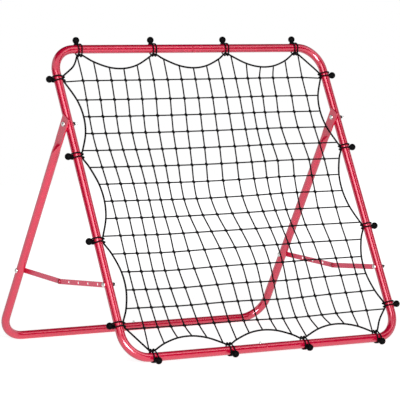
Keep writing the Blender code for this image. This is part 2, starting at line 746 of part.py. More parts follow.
def net(group, finishes, parent):
    """The border rope, and the net knotted inside it from crossing cords."""
    twine, rope = finishes
    outline = rope_outline()
    rope_curve = line_curve("border_rope", [spot[2] for spot in outline], ROPE_D / 2, 0, cyclic=True)
    add_object("border_rope", rope_curve, group, rope, parent)

    work = bmesh.new()
    knots = []
    for row in range(NET_ROWS):
        knots.append([])
        for column in range(NET_COLUMNS):
            along, up = column_place(column), row_place(row)
            aside, back = slack_at(along, up)
            knots[row].append(work.verts.new((along + aside, back, up)))
    clear = ROPE_D / 2 + TWINE_D / 2 + GAP
    ends = {"top": {}, "bottom": {}, "left": {}, "right": {}}
    for number, (kind, cord, place) in enumerate(outline):
        if kind != "tie":
            ends[kind][cord] = work.verts.new(inset(outline, number, clear))
    for row in range(NET_ROWS - 1):
        for column in range(NET_COLUMNS - 1):
            upper, lower = knots[row], knots[row + 1]
            work.faces.new((upper[column], lower[column], lower[column + 1], upper[column + 1]))
    last_row, last_column = NET_ROWS - 1, NET_COLUMNS - 1
    for column in range(last_column):
        first, second = knots[0][column], knots[0][column + 1]
        work.faces.new((first, second, ends["top"][column + 1], ends["top"][column]))
        first, second = knots[last_row][column], knots[last_row][column + 1]
        work.faces.new((first, ends["bottom"][column], ends["bottom"][column + 1], second))
    for row in range(last_row):
        first, second = knots[row][0], knots[row + 1][0]
        work.faces.new((first, ends["left"][row], ends["left"][row + 1], second))
        first, second = knots[row][last_column], knots[row + 1][last_column]
        work.faces.new((first, second, ends["right"][row + 1], ends["right"][row]))
    work.faces.new((knots[0][0], ends["top"][0], ends["left"][0]))
    work.faces.new((knots[0][last_column], ends["right"][0], ends["top"][last_column]))
    work.faces.new((knots[last_row][0], ends["left"][last_row], ends["bottom"][0]))
    work.faces.new((knots[last_row][last_column], ends["bottom"][last_column], ends["right"][last_row]))
    mesh = bpy.data.meshes.new("net_mesh")
    work.to_mesh(mesh)
    work.free()
    item = add_object("net_mesh", mesh, group, twine, parent)
    cords = item.modifiers.new("cords", "WIREFRAME")
    cords.thickness = TWINE_D
    cords.use_even_offset = False
    cords.use_replace = True
    cords.use_boundary = True
    smooth(item)


def arc_angles(start, finish, pitch):
    """Even angles from start to finish, no further apart than the pitch, and their spacing."""
    steps = max(1, math.ceil(abs(finish - start) / pitch))
    return [start + (finish - start) * step / steps for step in range(steps + 1)], abs(finish - start) / steps


def tie_loop_points(rope_in, ball_angle):
    """The elastic cord of a ball tie, in the tie's own axes: X to the rope, Y to the front, Z along the tube.

    Both ends start close together behind the ball's neck. They part on their way up the back of the
    tube, pass round the rope, come over the front of the tube, pass the neck on both sides and join
    over their own starts.
    """
    rope_track = ROPE_D / 2 + GAP + TIE_CORD_D / 2
    leave = math.acos((CORD_TRACK - rope_track) / rope_in)
    near, apart = CORD_LAYER / 2, STRAND_PITCH / 2
    neck_turn = NECK_TRACK / CORD_TRACK
    run = []

    def over_tube(start, finish, first_aside, last_aside):
        angles, pitch = arc_angles(start, finish, CORD_PITCH)
        reach = CORD_TRACK / math.cos(pitch / 2)
        slope = (last_aside - first_aside) / (finish - start)
        return [(reach * math.cos(turn), reach * math.sin(turn), first_aside + slope * (turn - start))
                for turn in angles]

    run += over_tube(ball_angle - 2 * math.pi + neck_turn * HOOK_START, -leave, near, apart)
    tip = rope_track / math.cos(leave / 2)
    run += [(rope_in + tip * math.cos(turn), tip * math.sin(turn), apart)
            for turn in (-leave / 2, leave / 2)]
    run += over_tube(leave, ball_angle - neck_turn * HOOK_RETURN, apart, NECK_TRACK * HOOK_SPREAD)
    ball = Vector((math.cos(ball_angle), math.sin(ball_angle), 0))
    ahead = Vector((-math.sin(ball_angle), math.cos(ball_angle), 0))
    around = NECK_TRACK / math.cos(NECK_PITCH / 2)
    for step, layer in HOOK:
        turn = NECK_PITCH * step
        aside = Vector((0, 0, math.sin(turn))) + ahead * math.cos(turn)
        run.append(tuple(ball * (CORD_TRACK + CORD_LAYER * layer) + aside * around))
    mirrored = [(x, y, -z) for x, y, z in reversed(run[:-1])]
    return run + mirrored


def ball_profile(out):
    """A ball with a short neck that stands on the tube, from the pole down.

    One ring of its points is where the top ties' balls are highest in the world.
    """
    radius = BALL_D / 2
    neck = NECK_D / 2
    foot = TUBE_R + GAP
    upper = math.pi / 2 - FRAME_TILT
    lower = math.asin(neck / radius) - math.pi / 2
    turns = [upper + (lower - upper) * step / 3 for step in range(4)]
    rings = [(radius * math.cos(turn), out + radius * math.sin(turn)) for turn in turns]
    return [(0, out + radius)] + rings + [(neck, foot), (0, foot)]


def ties(group, finishes, parent):
    """Sixteen ball ties: an elastic loop round the tube and the rope, hooked on the neck of its ball."""
    ball_finish, cord_finish = finishes
    straight = math.pi
    sides = (
        ("top", TIES_TOP, (0, 0, -1), ROPE_IN_TOP, straight, FRAME_SPAN),
        ("bottom", TIES_BOTTOM, (0, 0, 1), ROPE_IN_BOTTOM, BOTTOM_BALL_ANGLE, 0.0),
        ("left", TIES_SIDE, (1, 0, 0), ROPE_IN_SIDE, straight, -HALF),
        ("right", TIES_SIDE, (-1, 0, 0), ROPE_IN_SIDE, straight, HALF),
    )
    ball_mesh = None
    for word, places, toward, rope_in, ball_angle, level in sides:
        toward = Vector(toward)
        front = Vector((0, -1, 0))
        axes = Matrix((toward, front, toward.cross(front))).transposed()
        ball_way = axes @ Vector((math.cos(ball_angle), math.sin(ball_angle), 0))
        cord = line_curve("tie_loop_" + word, tie_loop_points(rope_in, ball_angle), TIE_CORD_D / 2, 0)
        for number, place in enumerate(places, 1):
            centre = (place, 0, level) if toward.z else (level, 0, place)
            turn = Vector((0, 0, 1)).rotation_difference(ball_way).to_euler()
            name = f"tie_ball_{word}_{number}"
            if ball_mesh is None:
                ball = turned(name, ball_profile(BALL_OUT), BALL_STEPS, group, ball_finish, parent,
                              centre, turn)
                ball_mesh = ball.data
            else:
                ball = add_object(name, ball_mesh, group, ball_finish, parent, centre, turn)
                lathe = ball.modifiers.new("lathe", "SCREW")
                lathe.steps = BALL_STEPS
                lathe.render_steps = BALL_STEPS
                lathe.use_merge_vertices = True
                lathe.merge_threshold = 0.00001
                lathe.use_smooth_shade = True
            add_object(f"tie_loop_{word}_{number}", cord, group, cord_finish, parent, centre, axes.to_euler())


def build():
    clear_scene()
    group = new_collection("soccer_rebounder")
    cutters = new_collection("cutters")
    red = material("red_powder_coat", (0.55, 0.012, 0.035), 0.32, 0.0)
    strap_red = material("strap_red", (0.45, 0.06, 0.09), 0.45, 0.0)
    bright = material("bright_zinc", (0.72, 0.72, 0.70), 0.25, 1.0)
    dark_nut = material("dark_nut", (0.03, 0.03, 0.03), 0.45, 0.6)
    steel = material("spring_steel", (0.40, 0.40, 0.42), 0.35, 1.0)
    button_grey = material("button_grey", (0.30, 0.30, 0.30), 0.40, 0.8)
    black_plastic = material("black_plastic", (0.012, 0.012, 0.013), 0.40, 0.0)
    black_elastic = material("black_elastic", (0.015, 0.015, 0.016), 0.85, 0.0)
    black_twine = material("black_twine", (0.012, 0.012, 0.013), 0.90, 0.0)

    front_axes = axes_empty("net_frame_axes", group, slope_point(0, 0, 0), -FRAME_TILT)
    leg_axes = axes_empty("leg_fold_axis", group, slope_point(0, 0, PIVOT_UP), LEG_ANGLE)
    frames = (front_axes, leg_axes)
    for side, word in ((-1, "left"), (1, "right")):
        front_half("front_frame_" + word, group, cutters, front_axes, red, side)
        rear_half("rear_frame_" + word, group, cutters, leg_axes, red, side)
        braces(side, word, group, cutters, frames, (strap_red, bright, dark_nut))
    front_button = slope_point(-JOINT_OFFSET - FRONT_BUTTON_IN, 0, 0)
    rear_button = leg_point(REAR_JOINT_OFFSET + LEG_SHIFT - REAR_BUTTON_IN, LEG_LENGTH)
    snap_button("front", group, (button_grey, steel), front_button)
    snap_button("rear", group, (button_grey, steel), rear_button)
    net(group, (black_twine, black_elastic), front_axes)
    ties(group, (black_plastic, black_elastic), front_axes)


build()
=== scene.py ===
import math
import re

import bmesh
import bpy
import numpy as np
from mathutils import Matrix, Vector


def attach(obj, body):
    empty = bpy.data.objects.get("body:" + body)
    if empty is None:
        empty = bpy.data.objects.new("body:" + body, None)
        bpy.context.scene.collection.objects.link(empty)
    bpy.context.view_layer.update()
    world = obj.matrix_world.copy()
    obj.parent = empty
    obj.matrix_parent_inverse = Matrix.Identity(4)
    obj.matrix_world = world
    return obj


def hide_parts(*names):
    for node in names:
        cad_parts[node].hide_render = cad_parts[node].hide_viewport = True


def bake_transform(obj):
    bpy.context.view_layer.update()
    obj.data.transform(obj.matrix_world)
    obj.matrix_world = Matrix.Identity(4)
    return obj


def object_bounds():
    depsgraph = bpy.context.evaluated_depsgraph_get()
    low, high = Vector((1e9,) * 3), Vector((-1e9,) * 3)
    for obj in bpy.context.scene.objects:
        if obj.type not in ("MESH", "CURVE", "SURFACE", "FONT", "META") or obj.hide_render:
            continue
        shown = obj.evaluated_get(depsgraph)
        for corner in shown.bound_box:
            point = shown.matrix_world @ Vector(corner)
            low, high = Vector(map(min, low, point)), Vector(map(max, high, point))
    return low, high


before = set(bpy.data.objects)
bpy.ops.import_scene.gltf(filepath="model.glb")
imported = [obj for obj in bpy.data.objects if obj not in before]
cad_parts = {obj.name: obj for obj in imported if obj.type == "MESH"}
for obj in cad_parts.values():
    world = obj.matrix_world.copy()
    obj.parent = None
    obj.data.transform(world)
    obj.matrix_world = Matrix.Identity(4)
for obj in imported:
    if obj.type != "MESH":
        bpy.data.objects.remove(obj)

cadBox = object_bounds()
print("frame loaded", [round(side, 4) for side in cadBox[1] - cadBox[0]])

# Sizes that the CAD part has too, in metres and radians. The net frame's own axes are x along its bars,
# y back through the net and z up the slope; the leg's are the same about the pivot bolts. The CAD's tubes
# have flat facets, and the leg rests on one.
size = dict(
    tubeRadius=0.0125, facets=12, wall=0.0012, bend=0.075, frame=0.960, tilt=math.radians(25.6),
    pivotUp=0.7034, legLength=0.7457, braceUp=0.2188, braceDown=0.5055, lugThick=0.005,
    strapThick=0.002, strapGap=0.0005, gap=0.0003, floorGap=0.0001, ball=0.010, ballOut=0.028,
    tieCord=0.0035, tieLayer=0.0038, strandPitch=0.010, tieTurn=math.radians(38.5))
tube, gap, thick = size["tubeRadius"], size["gap"], size["strapThick"]
span = size["frame"] - 2 * tube
half = span / 2
facetFlat = math.cos(math.pi / size["facets"])
tieTrack = tube + gap + size["tieCord"] / 2
frontBarUp = (tieTrack + size["tieCord"] / 2) / math.cos(size["tieTurn"] / 2) + size["floorGap"]
rearBarUp = tube * facetFlat
legTilt = math.acos((frontBarUp + size["pivotUp"] * math.cos(size["tilt"]) - rearBarUp) / size["legLength"])
rearBarBack = size["pivotUp"] * math.sin(size["tilt"]) + size["legLength"] * math.sin(legTilt)
ballDrop = math.asin((frontBarUp - size["ball"] - size["floorGap"]) / size["ballOut"])
frontBarAt = -(rearBarBack + rearBarUp - size["ballOut"] * math.cos(ballDrop) - size["ball"]) / 2
legShift = -(tube + gap + size["lugThick"] / 2)
hands = ((-1, "Left"), (1, "Right"))


def unit(arrows):
    # each arrow divided by its own length
    return arrows / np.linalg.norm(arrows, axis=-1, keepdims=True)


def joined(*parts, way=0):
    # arrays laid end to end
    return np.concatenate(parts, way)


def circle(sides):
    # the angles of the points of one ring
    return np.linspace(0, 2 * math.pi, sides, endpoint=False)


def leant(points, angle, place):
    # points turned about the x axis by the angle, then moved to the place
    cos, sin = math.cos(angle), math.sin(angle)
    return np.asarray(points, float) @ np.array([[1, 0, 0], [0, cos, -sin], [0, sin, cos]]) + place


def onSlope(points):
    # net frame axes to world: turned back by the tilt about the front bar
    return leant(points, size["tilt"], (0, frontBarAt, frontBarUp))


pivotAt = onSlope((0, 0, size["pivotUp"]))


def onLeg(points):
    # leg axes to world: turned the other way about the pivot bolts
    return leant(points, -legTilt, pivotAt)


# The camera stands where the photograph was taken from; nothing else depends on it.
view = dict(place=(-3.99877, -6.05756, 0.89774), yaw=33.374, down=3.7857, roll=-0.163, lens=223.16,
            sensor=36, farthest=60)


def turnedBy(degrees, axis):
    return Matrix.Rotation(math.radians(degrees), 4, axis)


camera = bpy.data.objects.new("camera", bpy.data.cameras.new("camera"))
bpy.context.scene.collection.objects.link(camera)
camera.data.lens = view["lens"]
camera.data.sensor_width = view["sensor"]
camera.data.clip_end = view["farthest"]
aim = turnedBy(-view["yaw"], "Z") @ turnedBy(90 - view["down"], "X")
camera.matrix_world = Matrix.Translation(view["place"]) @ aim @ turnedBy(view["roll"], "Z")
bpy.context.scene.camera = camera
print("camera set")

shaderSockets = dict(
    colour="Base Color", rough="Roughness", metal="Metallic", normal="Normal", gloss="Specular IOR Level",
    tint="Specular Tint", ior="IOR", sheen="Sheen Weight", sheenRough="Sheen Roughness",
    glow="Emission Color", glowPower="Emission Strength")


class Wire:
    # a socket in a material: each arithmetic sign adds one Math node

    def __init__(self, recipe, socket):
        self.recipe, self.socket = recipe, socket

    def maths(self, operation, *values):
        return self.recipe.node("ShaderNodeMath", {"operation": operation}, dict(enumerate(values)))

    def __add__(self, other):
        return self.maths("ADD", self, other)

    def __sub__(self, other):
        return self.maths("SUBTRACT", self, other)

    def __rsub__(self, other):
        return self.maths("SUBTRACT", other, self)

    def __mul__(self, other):
        return self.maths("MULTIPLY", self, other)

    __radd__, __rmul__ = __add__, __mul__

    def sine(self):
        return self.maths("SINE", self)

    def size(self):
        return self.maths("ABSOLUTE", self)


class Recipe:
    # one material, built node by node around its Principled shader; or the nodes of a tree that is there

    def __init__(self, name="", tree=None):
        self.tree = tree
        if not tree:
            self.material = bpy.data.materials.new(name)
            self.material.use_nodes = True
            self.tree = self.material.node_tree
            self.shader = self.tree.nodes["Principled BSDF"]

    def feed(self, socket, value):
        if isinstance(value, Wire):
            self.tree.links.new(value.socket, socket)
        else:
            socket.default_value = value

    def node(self, kind, settings=(), sockets=(), give=0):
        made = self.tree.nodes.new(kind)
        for key, value in dict(settings).items():
            setattr(made, key, value)
        for key, value in dict(sockets).items():
            self.feed(made.inputs[key], value)
        return Wire(self, made.outputs[give])

    def place(self):
        return self.node("ShaderNodeTexCoord", give="Object")

    def lay(self):
        # along the piece in metres, and round it as a share of one turn
        return self.node("ShaderNodeUVMap", {"uv_map": "lay"})

    def alongAndAround(self):
        # the two numbers of lay, each on its own
        split = self.node("ShaderNodeSeparateXYZ", (), {0: self.lay()}).socket.node
        return Wire(self, split.outputs[0]), Wire(self, split.outputs[1])

    def scaled(self, vector, scale):
        return self.node("ShaderNodeVectorMath", {"operation": "MULTIPLY"}, {0: vector, 1: scale})

    def noise(self, vector, scale, detail=2.0, rough=0.5, warp=0.0):
        return self.node("ShaderNodeTexNoise", (), {
            "Vector": vector, "Scale": scale, "Detail": detail, "Roughness": rough, "Distortion": warp})

    def ease(self, value, low, high, first=0.0, last=1.0):
        return self.node("ShaderNodeMapRange", {"interpolation_type": "SMOOTHSTEP"},
                         {0: value, 1: low, 2: high, 3: first, 4: last})

    def blend(self, share, first, second):
        first, second = (value if isinstance(value, Wire) else (*value, 1) for value in (first, second))
        return self.node("ShaderNodeMix", {"data_type": "RGBA"}, {0: share, 6: first, 7: second}, give=2)

    def drifting(self, cloud, look, low=0.3, high=0.7):
        # the look's deep colour where the cloud is thin, its bright colour where it is thick
        return self.blend(self.ease(cloud, low, high), look["deep"], look["bright"])

    def bump(self, height, distance, strength):
        return self.node("ShaderNodeBump", (), {"Height": height, "Distance": distance, "Strength": strength})

    def done(self, **values):
        for key, value in values.items():
            value = (*value, 1) if isinstance(value, tuple) else value
            self.feed(self.shader.inputs[shaderSockets[key]], value)
        return self.material


def linear(red, green, blue):
    # screen colour, 0 to 255, to the linear colour that a shader takes
    screen = np.array((red, green, blue)) / 255
    curved = ((screen + 0.055) / 1.055) ** 2.4
    return tuple(float(value) for value in np.where(screen < 0.04045, screen / 12.92, curved))


def powderCoat(name, look):
    # Baked powder: a slow drift in the colour, fine orange peel, faint handling scuffs
    # and a few chips down to the grey metal.
    recipe = Recipe(name)
    place = recipe.place()
    cloud = recipe.noise(place, 55, 4, 0.6)
    peel = recipe.noise(place, 520, 2, 0.45)
    grit = recipe.noise(place, 2600, 1)
    scuff = recipe.ease(recipe.noise(recipe.scaled(place, (22, 22, 160)), 3.2, 5, 0.62, 1.6), 0.68, 0.80)
    colour = recipe.drifting(recipe.noise(place, 7, 3), look)
    colour = recipe.blend(scuff * look["scuff"], colour, look["rubbed"])
    chip = recipe.ease(recipe.noise(place, 95, 6, 0.72), look["chipFrom"], look["chipFrom"] + 0.012)
    colour = recipe.blend(chip, colour, linear(120, 108, 105))
    rough = look["rough"] + cloud * 0.05 + scuff * 0.03 + chip * 0.15
    relief = peel * 0.9 + grit * 0.12 - chip * 0.6
    return recipe.done(colour=colour, rough=rough, normal=recipe.bump(relief, look["peel"], 0.4),
                       ior=look["ior"], tint=look["tint"])


tubeRed = dict(deep=linear(184, 2, 46), bright=linear(192, 8, 54), rubbed=linear(212, 50, 80), rough=0.11,
               scuff=0.15, chipFrom=0.80, peel=0.0000012, ior=2.5, tint=(1.0, 0.48, 0.55))
tubeCoat = powderCoat("tubeCoat", tubeRed)
# the legs take the tubes' powder in a lighter copy: painted light, for the paler look the legs have where the
# light falls on them
paintedLitLegCoat = powderCoat("paintedLitLegCoat", dict(tubeRed, deep=linear(200, 6, 52), bright=linear(208, 16, 60)))
rivetRed = powderCoat("rivetRed", dict(tubeRed, deep=linear(150, 6, 36), bright=linear(164, 12, 44), ior=1.8))


def strapPaint(name, look):
    # Painted flat steel: thinner paint along the ragged edges, rubbed down to the metal in places.
    recipe = Recipe(name)
    place = recipe.place()
    across = recipe.alongAndAround()[1]
    drift = recipe.noise(place, 24, 4, 0.6)
    ragged = recipe.noise(place, 300, 5, 0.65) * 0.0026
    edge = recipe.ease(across.size() + ragged, look["edge"], look["edge"] + 0.0007)
    worn = edge * recipe.ease(recipe.noise(place, 140, 6, 0.7), 0.60, 0.68)
    colour = recipe.blend(edge * 0.55, recipe.drifting(drift, look), look["thin"])
    colour = recipe.blend(worn * 0.8, colour, linear(134, 120, 116))
    height = recipe.noise(place, 420, 3) * 0.7 + recipe.noise(place, 60, 2) * 0.5
    return recipe.done(colour=colour, rough=0.34 + drift * 0.10 - worn * 0.1, metal=worn * 0.6,
                       normal=recipe.bump(height, 0.00010, 0.4), ior=2.5, tint=(1.0, 0.50, 0.56))


# the straps' red is set lighter than the tubes' powder: painted light for their dimly lit flat faces; the
# thin edges and worn spots are the paint's own
strapRed = strapPaint("strapRed", dict(deep=linear(222, 36, 80), bright=linear(230, 48, 90),
                                       thin=linear(180, 24, 44), edge=0.0078))


def turnedMetal(name, look):
    # Plated steel: fine turning lines round the axis, a cloudy finish and small dull spots.
    recipe = Recipe(name)
    place = recipe.place()
    lines = recipe.noise(recipe.scaled(recipe.lay(), (5200, 3, 1)), 1, 2)
    cloud = recipe.noise(place, 180, 4, 0.6)
    spot = recipe.ease(recipe.noise(place, 900, 3, 0.6), 0.62, 0.72)
    colour = recipe.blend(spot * 0.5, recipe.drifting(cloud, look), look["dull"])
    rough = look["rough"] + cloud * 0.16 + spot * 0.2
    return recipe.done(colour=colour, rough=rough, metal=look["metal"],
                       normal=recipe.bump(lines * 0.6 + cloud * 0.4, look["lines"], 0.5))


brightZinc = turnedMetal("brightZinc", dict(
    deep=(0.46, 0.45, 0.44), bright=(0.74, 0.73, 0.71), dull=(0.30, 0.28, 0.26), rough=0.20, metal=1.0,
    lines=0.00004))
darkNut = turnedMetal("darkNut", dict(
    deep=(0.018, 0.016, 0.018), bright=(0.040, 0.036, 0.040), dull=(0.08, 0.06, 0.055), rough=0.36,
    metal=0.35, lines=0.00004))
springSteel = turnedMetal("springSteel", dict(
    deep=(0.30, 0.30, 0.32), bright=(0.45, 0.45, 0.47), dull=(0.22, 0.18, 0.15), rough=0.26, metal=1.0,
    lines=0.00003))
buttonGrey = turnedMetal("buttonGrey", dict(
    deep=(0.34, 0.36, 0.34), bright=(0.50, 0.52, 0.50), dull=(0.30, 0.20, 0.18), rough=0.30, metal=0.6,
    lines=0.00003))


def mouldedPlastic(name, look):
    # Moulded black plastic: very fine spark grain, slightly greyed where it has been handled.
    recipe = Recipe(name)
    place = recipe.place()
    haze = recipe.noise(place, 130, 4, 0.6)
    grain = recipe.noise(place, 3200, 2)
    return recipe.done(colour=recipe.drifting(haze, look, 0.35, 0.75), rough=0.40 + haze * 0.22, gloss=0.03,
                       normal=recipe.bump(grain * 0.6 + haze * 0.4, 0.00006, 0.5))


def cordFinish(recipe, look, toneAndPaintedGrooveShade, rough, relief):
    # what all the cords share: their deep and bright colours, deep in the grooves and bright on the crests as
    # painted shade, a weak gloss and a trace of sheen
    return recipe.done(colour=recipe.blend(toneAndPaintedGrooveShade, look["deep"], look["bright"]), rough=rough, gloss=0.03,
                       normal=recipe.bump(relief, look["lift"], 0.8), sheen=0.01, sheenRough=0.5)


def wovenSleeve(name, look):
    # Braided yarns: two families of strands wind round the cord opposite ways, and where they cross
    # one stands over the other. Fine fibres lie along each strand.
    recipe = Recipe(name)
    along, around = recipe.alongAndAround()
    wind = along * (2 * math.pi / look["pitch"])
    turn = around * (2 * math.pi * look["strands"])
    ridge = recipe.ease(((wind + turn).sine() * (wind - turn).sine()).size(), 0.05, 0.85)
    fibre = recipe.noise(recipe.scaled(recipe.lay(), (2600, 26, 1)), 1, 3, 0.6)
    # painted shade: darker in the grooves between the strands, lighter on their crests, mixed with the
    # fibres' own tone
    toneAndPaintedGrooveShade = ridge * 0.65 + fibre * 0.35
    return cordFinish(recipe, look, toneAndPaintedGrooveShade, 0.95 - ridge * 0.2, ridge * 0.8 + fibre * 0.3)


def twistedTwine(name, look):
    # Laid twine: a few strands wound one way round each other, seen as slanting ridges, with loose fibres.
    recipe = Recipe(name)
    along, around = recipe.alongAndAround()
    slant = (along * (math.pi / look["pitch"]) + around * (math.pi * look["strands"])).sine().size()
    fibre = recipe.noise(recipe.scaled(recipe.lay(), (3400, 18, 1)), 1, 3, 0.65)
    dust = recipe.noise(recipe.place(), 30, 3)
    # painted shade: darker in the grooves between the slanting ridges, mixed with the fibres' and the dust's
    # own tone
    toneAndPaintedGrooveShade = slant * 0.6 + fibre * 0.3 + dust * 0.15
    return cordFinish(recipe, look, toneAndPaintedGrooveShade, 0.80 + fibre * 0.15, slant + fibre * 0.35)


cordBlack = dict(strands=4, deep=(0.0020, 0.0020, 0.0023), bright=(0.010, 0.010, 0.011))
blackPlastic = mouldedPlastic("blackPlastic", dict(deep=(0.0015, 0.0015, 0.0018),
                                                   bright=(0.0040, 0.0040, 0.0045)))
blackElastic = wovenSleeve("blackElastic", dict(cordBlack, pitch=0.0036, lift=0.00022))
ropeBraid = wovenSleeve("ropeBraid", dict(cordBlack, pitch=0.0052, lift=0.0003))
netTwine = twistedTwine("netTwine", dict(cordBlack, pitch=0.0048, strands=3, lift=0.00025))
print("finishes mixed")

weld = dict(points=2e-6, edges=1e-7)


def gridFaces(rows, ring, closeRows):
    # four corners of each cell between rings of points; a closed way joins its last ring to its first
    spot = np.arange(rows * ring).reshape(rows, ring)
    down = np.arange(rows if closeRows else rows - 1)[:, None]
    over = np.arange(ring)
    below, beside = (down + 1) % rows, (over + 1) % ring
    corners = [spot[down, over], spot[below, over], spot[below, beside], spot[down, beside]]
    return np.stack(corners, -1).reshape(-1, 4)


def runLay(grid, closeRows):
    # texture places of a grid: the distance run along it, by its middle or its first line, whichever is more,
    # and the share of a turn round the ring
    looped = joined(grid, grid[:1]) if closeRows else grid
    steps = [np.linalg.norm(np.diff(line, axis=0), axis=-1) for line in (looped.mean(1), looped[:, 0])]
    run = joined([0], np.cumsum(np.maximum(*steps)))
    return np.stack(np.broadcast_arrays(run[:, None], np.linspace(0, 1, grid.shape[1] + 1)), -1)


def surface(name, grids, finish, body, node=None, closeRows=False, lays=None, crease=38, solid=True):
    # A mesh from grids of rings of points, with its texture places from runLay or lays. Poles and seams are
    # welded, and the faces look out. It takes the place of the CAD's node with its own name, or of the node
    # that is given, and of none where that is "".
    corners, faces, places, count = [], [], [], 0
    for number, grid in enumerate(grids):
        cell = gridFaces(*grid.shape[:2], closeRows)
        lay = lays[number] if lays else runLay(grid, closeRows)
        laid = np.stack([lay[:-1, :-1], lay[1:, :-1], lay[1:, 1:], lay[:-1, 1:]], -2).reshape(-1, 4, 2)
        points = np.clip(grid.reshape(-1, 3), cadBox[0], cadBox[1])
        if solid:
            first, second, third, fourth = (points[cell[:, corner]] for corner in range(4))
            volume = (first * (np.cross(second, third) + np.cross(third, fourth))).sum()
            if volume < 0:
                cell, laid = cell[:, ::-1], laid[:, ::-1]
        corners.append(points)
        faces.append(cell + count)
        places.append(laid)
        count += len(points)
    mesh = bpy.data.meshes.new(name)
    mesh.from_pydata(joined(*corners).tolist(), [], joined(*faces).tolist())
    mesh.uv_layers.new(name="lay").data.foreach_set("uv", joined(*places).ravel().astype(np.float32))
    work = bmesh.new()
    work.from_mesh(mesh)
    bmesh.ops.remove_doubles(work, verts=work.verts, dist=weld["points"])
    bmesh.ops.dissolve_degenerate(work, edges=work.edges, dist=weld["edges"])
    work.to_mesh(mesh)
    work.free()
    mesh.shade_smooth()
    mesh.set_sharp_from_angle(angle=math.radians(crease))
    mesh.materials.append(finish)
    piece = bpy.data.objects.new(name, mesh)
    bpy.context.scene.collection.objects.link(piece)
    if body:
        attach(piece, body)
    if node is None:
        node = re.sub("([A-Z0-9])", r"_\1", name).lower()
    if node:
        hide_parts(node)
    return piece


def bentLine(corners, arcRows=16):
    # Straight runs with a quarter circle at each corner: start + along*sin + across*(1 - cos), times the
    # bend. Gives the places and the directions of the path.
    corners = np.asarray(corners, float)
    runs = unit(np.diff(corners, axis=0))
    turn = np.linspace(0, math.pi / 2, arcRows)[:, None]
    places, ways = [corners[:1]], [runs[:1]]
    for corner, before, after in zip(corners[1:-1], runs[:-1], runs[1:]):
        places.append(corner + (before * (np.sin(turn) - 1) + after * (1 - np.cos(turn))) * size["bend"])
        ways.append(before * np.cos(turn) + after * np.sin(turn))
    return joined(*places, corners[-1:]), joined(*ways, runs[-1:])


def ringsRound(places, ways, upright, radii, sides):
    # a circle of each row's radius, square to the path: place + radius*(side*cos + lift*sin)
    side = unit(np.cross(ways, upright))
    lift = unit(np.cross(side, ways))
    turn = circle(sides)[:, None]
    radii = np.broadcast_to(radii, places.shape[:-1])
    spokes = side[..., None, :] * np.cos(turn) + lift[..., None, :] * np.sin(turn)
    return places[..., None, :] + radii[..., None, None] * spokes


# Tubes of the net frame
frontTube = dict(jointOffset=0.0095, sides=48)
plug = dict(length=0.060, taper=0.003, radius=0.0110, edge=0.0015, bevel=0.6, lastRow=1.3)


def plugged(places, ways):
    # Puts a plug before a path's first place: its bevelled end, its body, and the cone up to the full tube. A
    # last row close behind the cone keeps its slope out of the tube's shading. Gives places, ways and the
    # radius of each row.
    offsets = np.array([-plug["length"], plug["edge"] - plug["length"], 0, plug["taper"],
                        plug["taper"] * plug["lastRow"]])
    radii = [plug["radius"] - plug["edge"] * plug["bevel"], plug["radius"], plug["radius"], tube, tube]
    return (joined(places[0] + ways[0] * offsets[:, None], places[1:]),
            joined(np.repeat(ways[:1], len(offsets), 0), ways[1:]),
            joined(radii, np.full(len(places) - 1, tube)))


def skins(places, ways, radii):
    # rings of the outer skin, running forward, and of the bore, running back
    outer = ringsRound(places, ways, (0, 1, 0), radii, frontTube["sides"])
    return outer, ringsRound(places, ways, (0, 1, 0), radii - size["wall"], frontTube["sides"])[::-1]


def frontHalf(side):
    # Half of the net frame. The bore follows the outer skin, so the wall is closed at both ends.
    joint = -side * frontTube["jointOffset"]
    first, last = (span, 0) if side < 0 else (0, span)
    corners = [(joint, 0, first), (side * half, 0, first), (side * half, 0, last),
               (side * gap - joint, 0, last)]
    return onSlope(joined(*skins(*plugged(*bentLine(corners)))))


for side, word in hands:
    surface("frontFrame" + word, [frontHalf(side)], tubeCoat, "front_frame",
            closeRows=True)
print("net frame bent")

# Folding leg with its pressed lugs
leg = dict(jointOffset=0.016, lugWide=0.036, lugAbove=0.024, lugFlat=0.014, lugBelow=0.047, lugFade=0.100,
           lugCorner=0.003, lugRound=0.42, cornerRows=5, flatRows=6, fadeRows=22, boreFrom=0.085)


def lugRows():
    # The pressed top of a leg. Each row goes from a circle to a flat section: thickness*sin of the share of
    # the way in from the edge, width stretched to the lug's. The top corners are rounded by a quarter circle.
    turn = circle(frontTube["sides"])
    swing = np.linspace(0, math.pi / 2, leg["cornerRows"])
    down = joined(leg["lugCorner"] * (1 - np.cos(swing)) - leg["lugAbove"],
                  np.linspace(-leg["lugFlat"], leg["lugBelow"], leg["flatRows"]),
                  np.linspace(leg["lugBelow"], leg["lugFade"], leg["fadeRows"])[1:])
    press = np.clip((leg["lugFade"] - down) / (leg["lugFade"] - leg["lugBelow"]), 0, 1)
    press = press * press * (3 - 2 * press)
    fromTop = np.clip(1 - (down + leg["lugAbove"]) / leg["lugCorner"], 0, 1)
    inward = leg["lugCorner"] * (1 - np.sin(np.arccos(fromTop)))
    wide = tube + press * (leg["lugWide"] / 2 - inward - tube)
    flat = np.sin(math.pi / 2 * np.clip(np.cos(turn) / leg["lugRound"], -1, 1)) * size["lugThick"] / 2
    across = (1 - press)[:, None] * tube * np.cos(turn) + press[:, None] * flat
    rows = np.stack(np.broadcast_arrays(across, wide[:, None] * np.sin(turn), -down[:, None]), -1)
    return joined(rows[:1] * (0, 0, 1), rows)


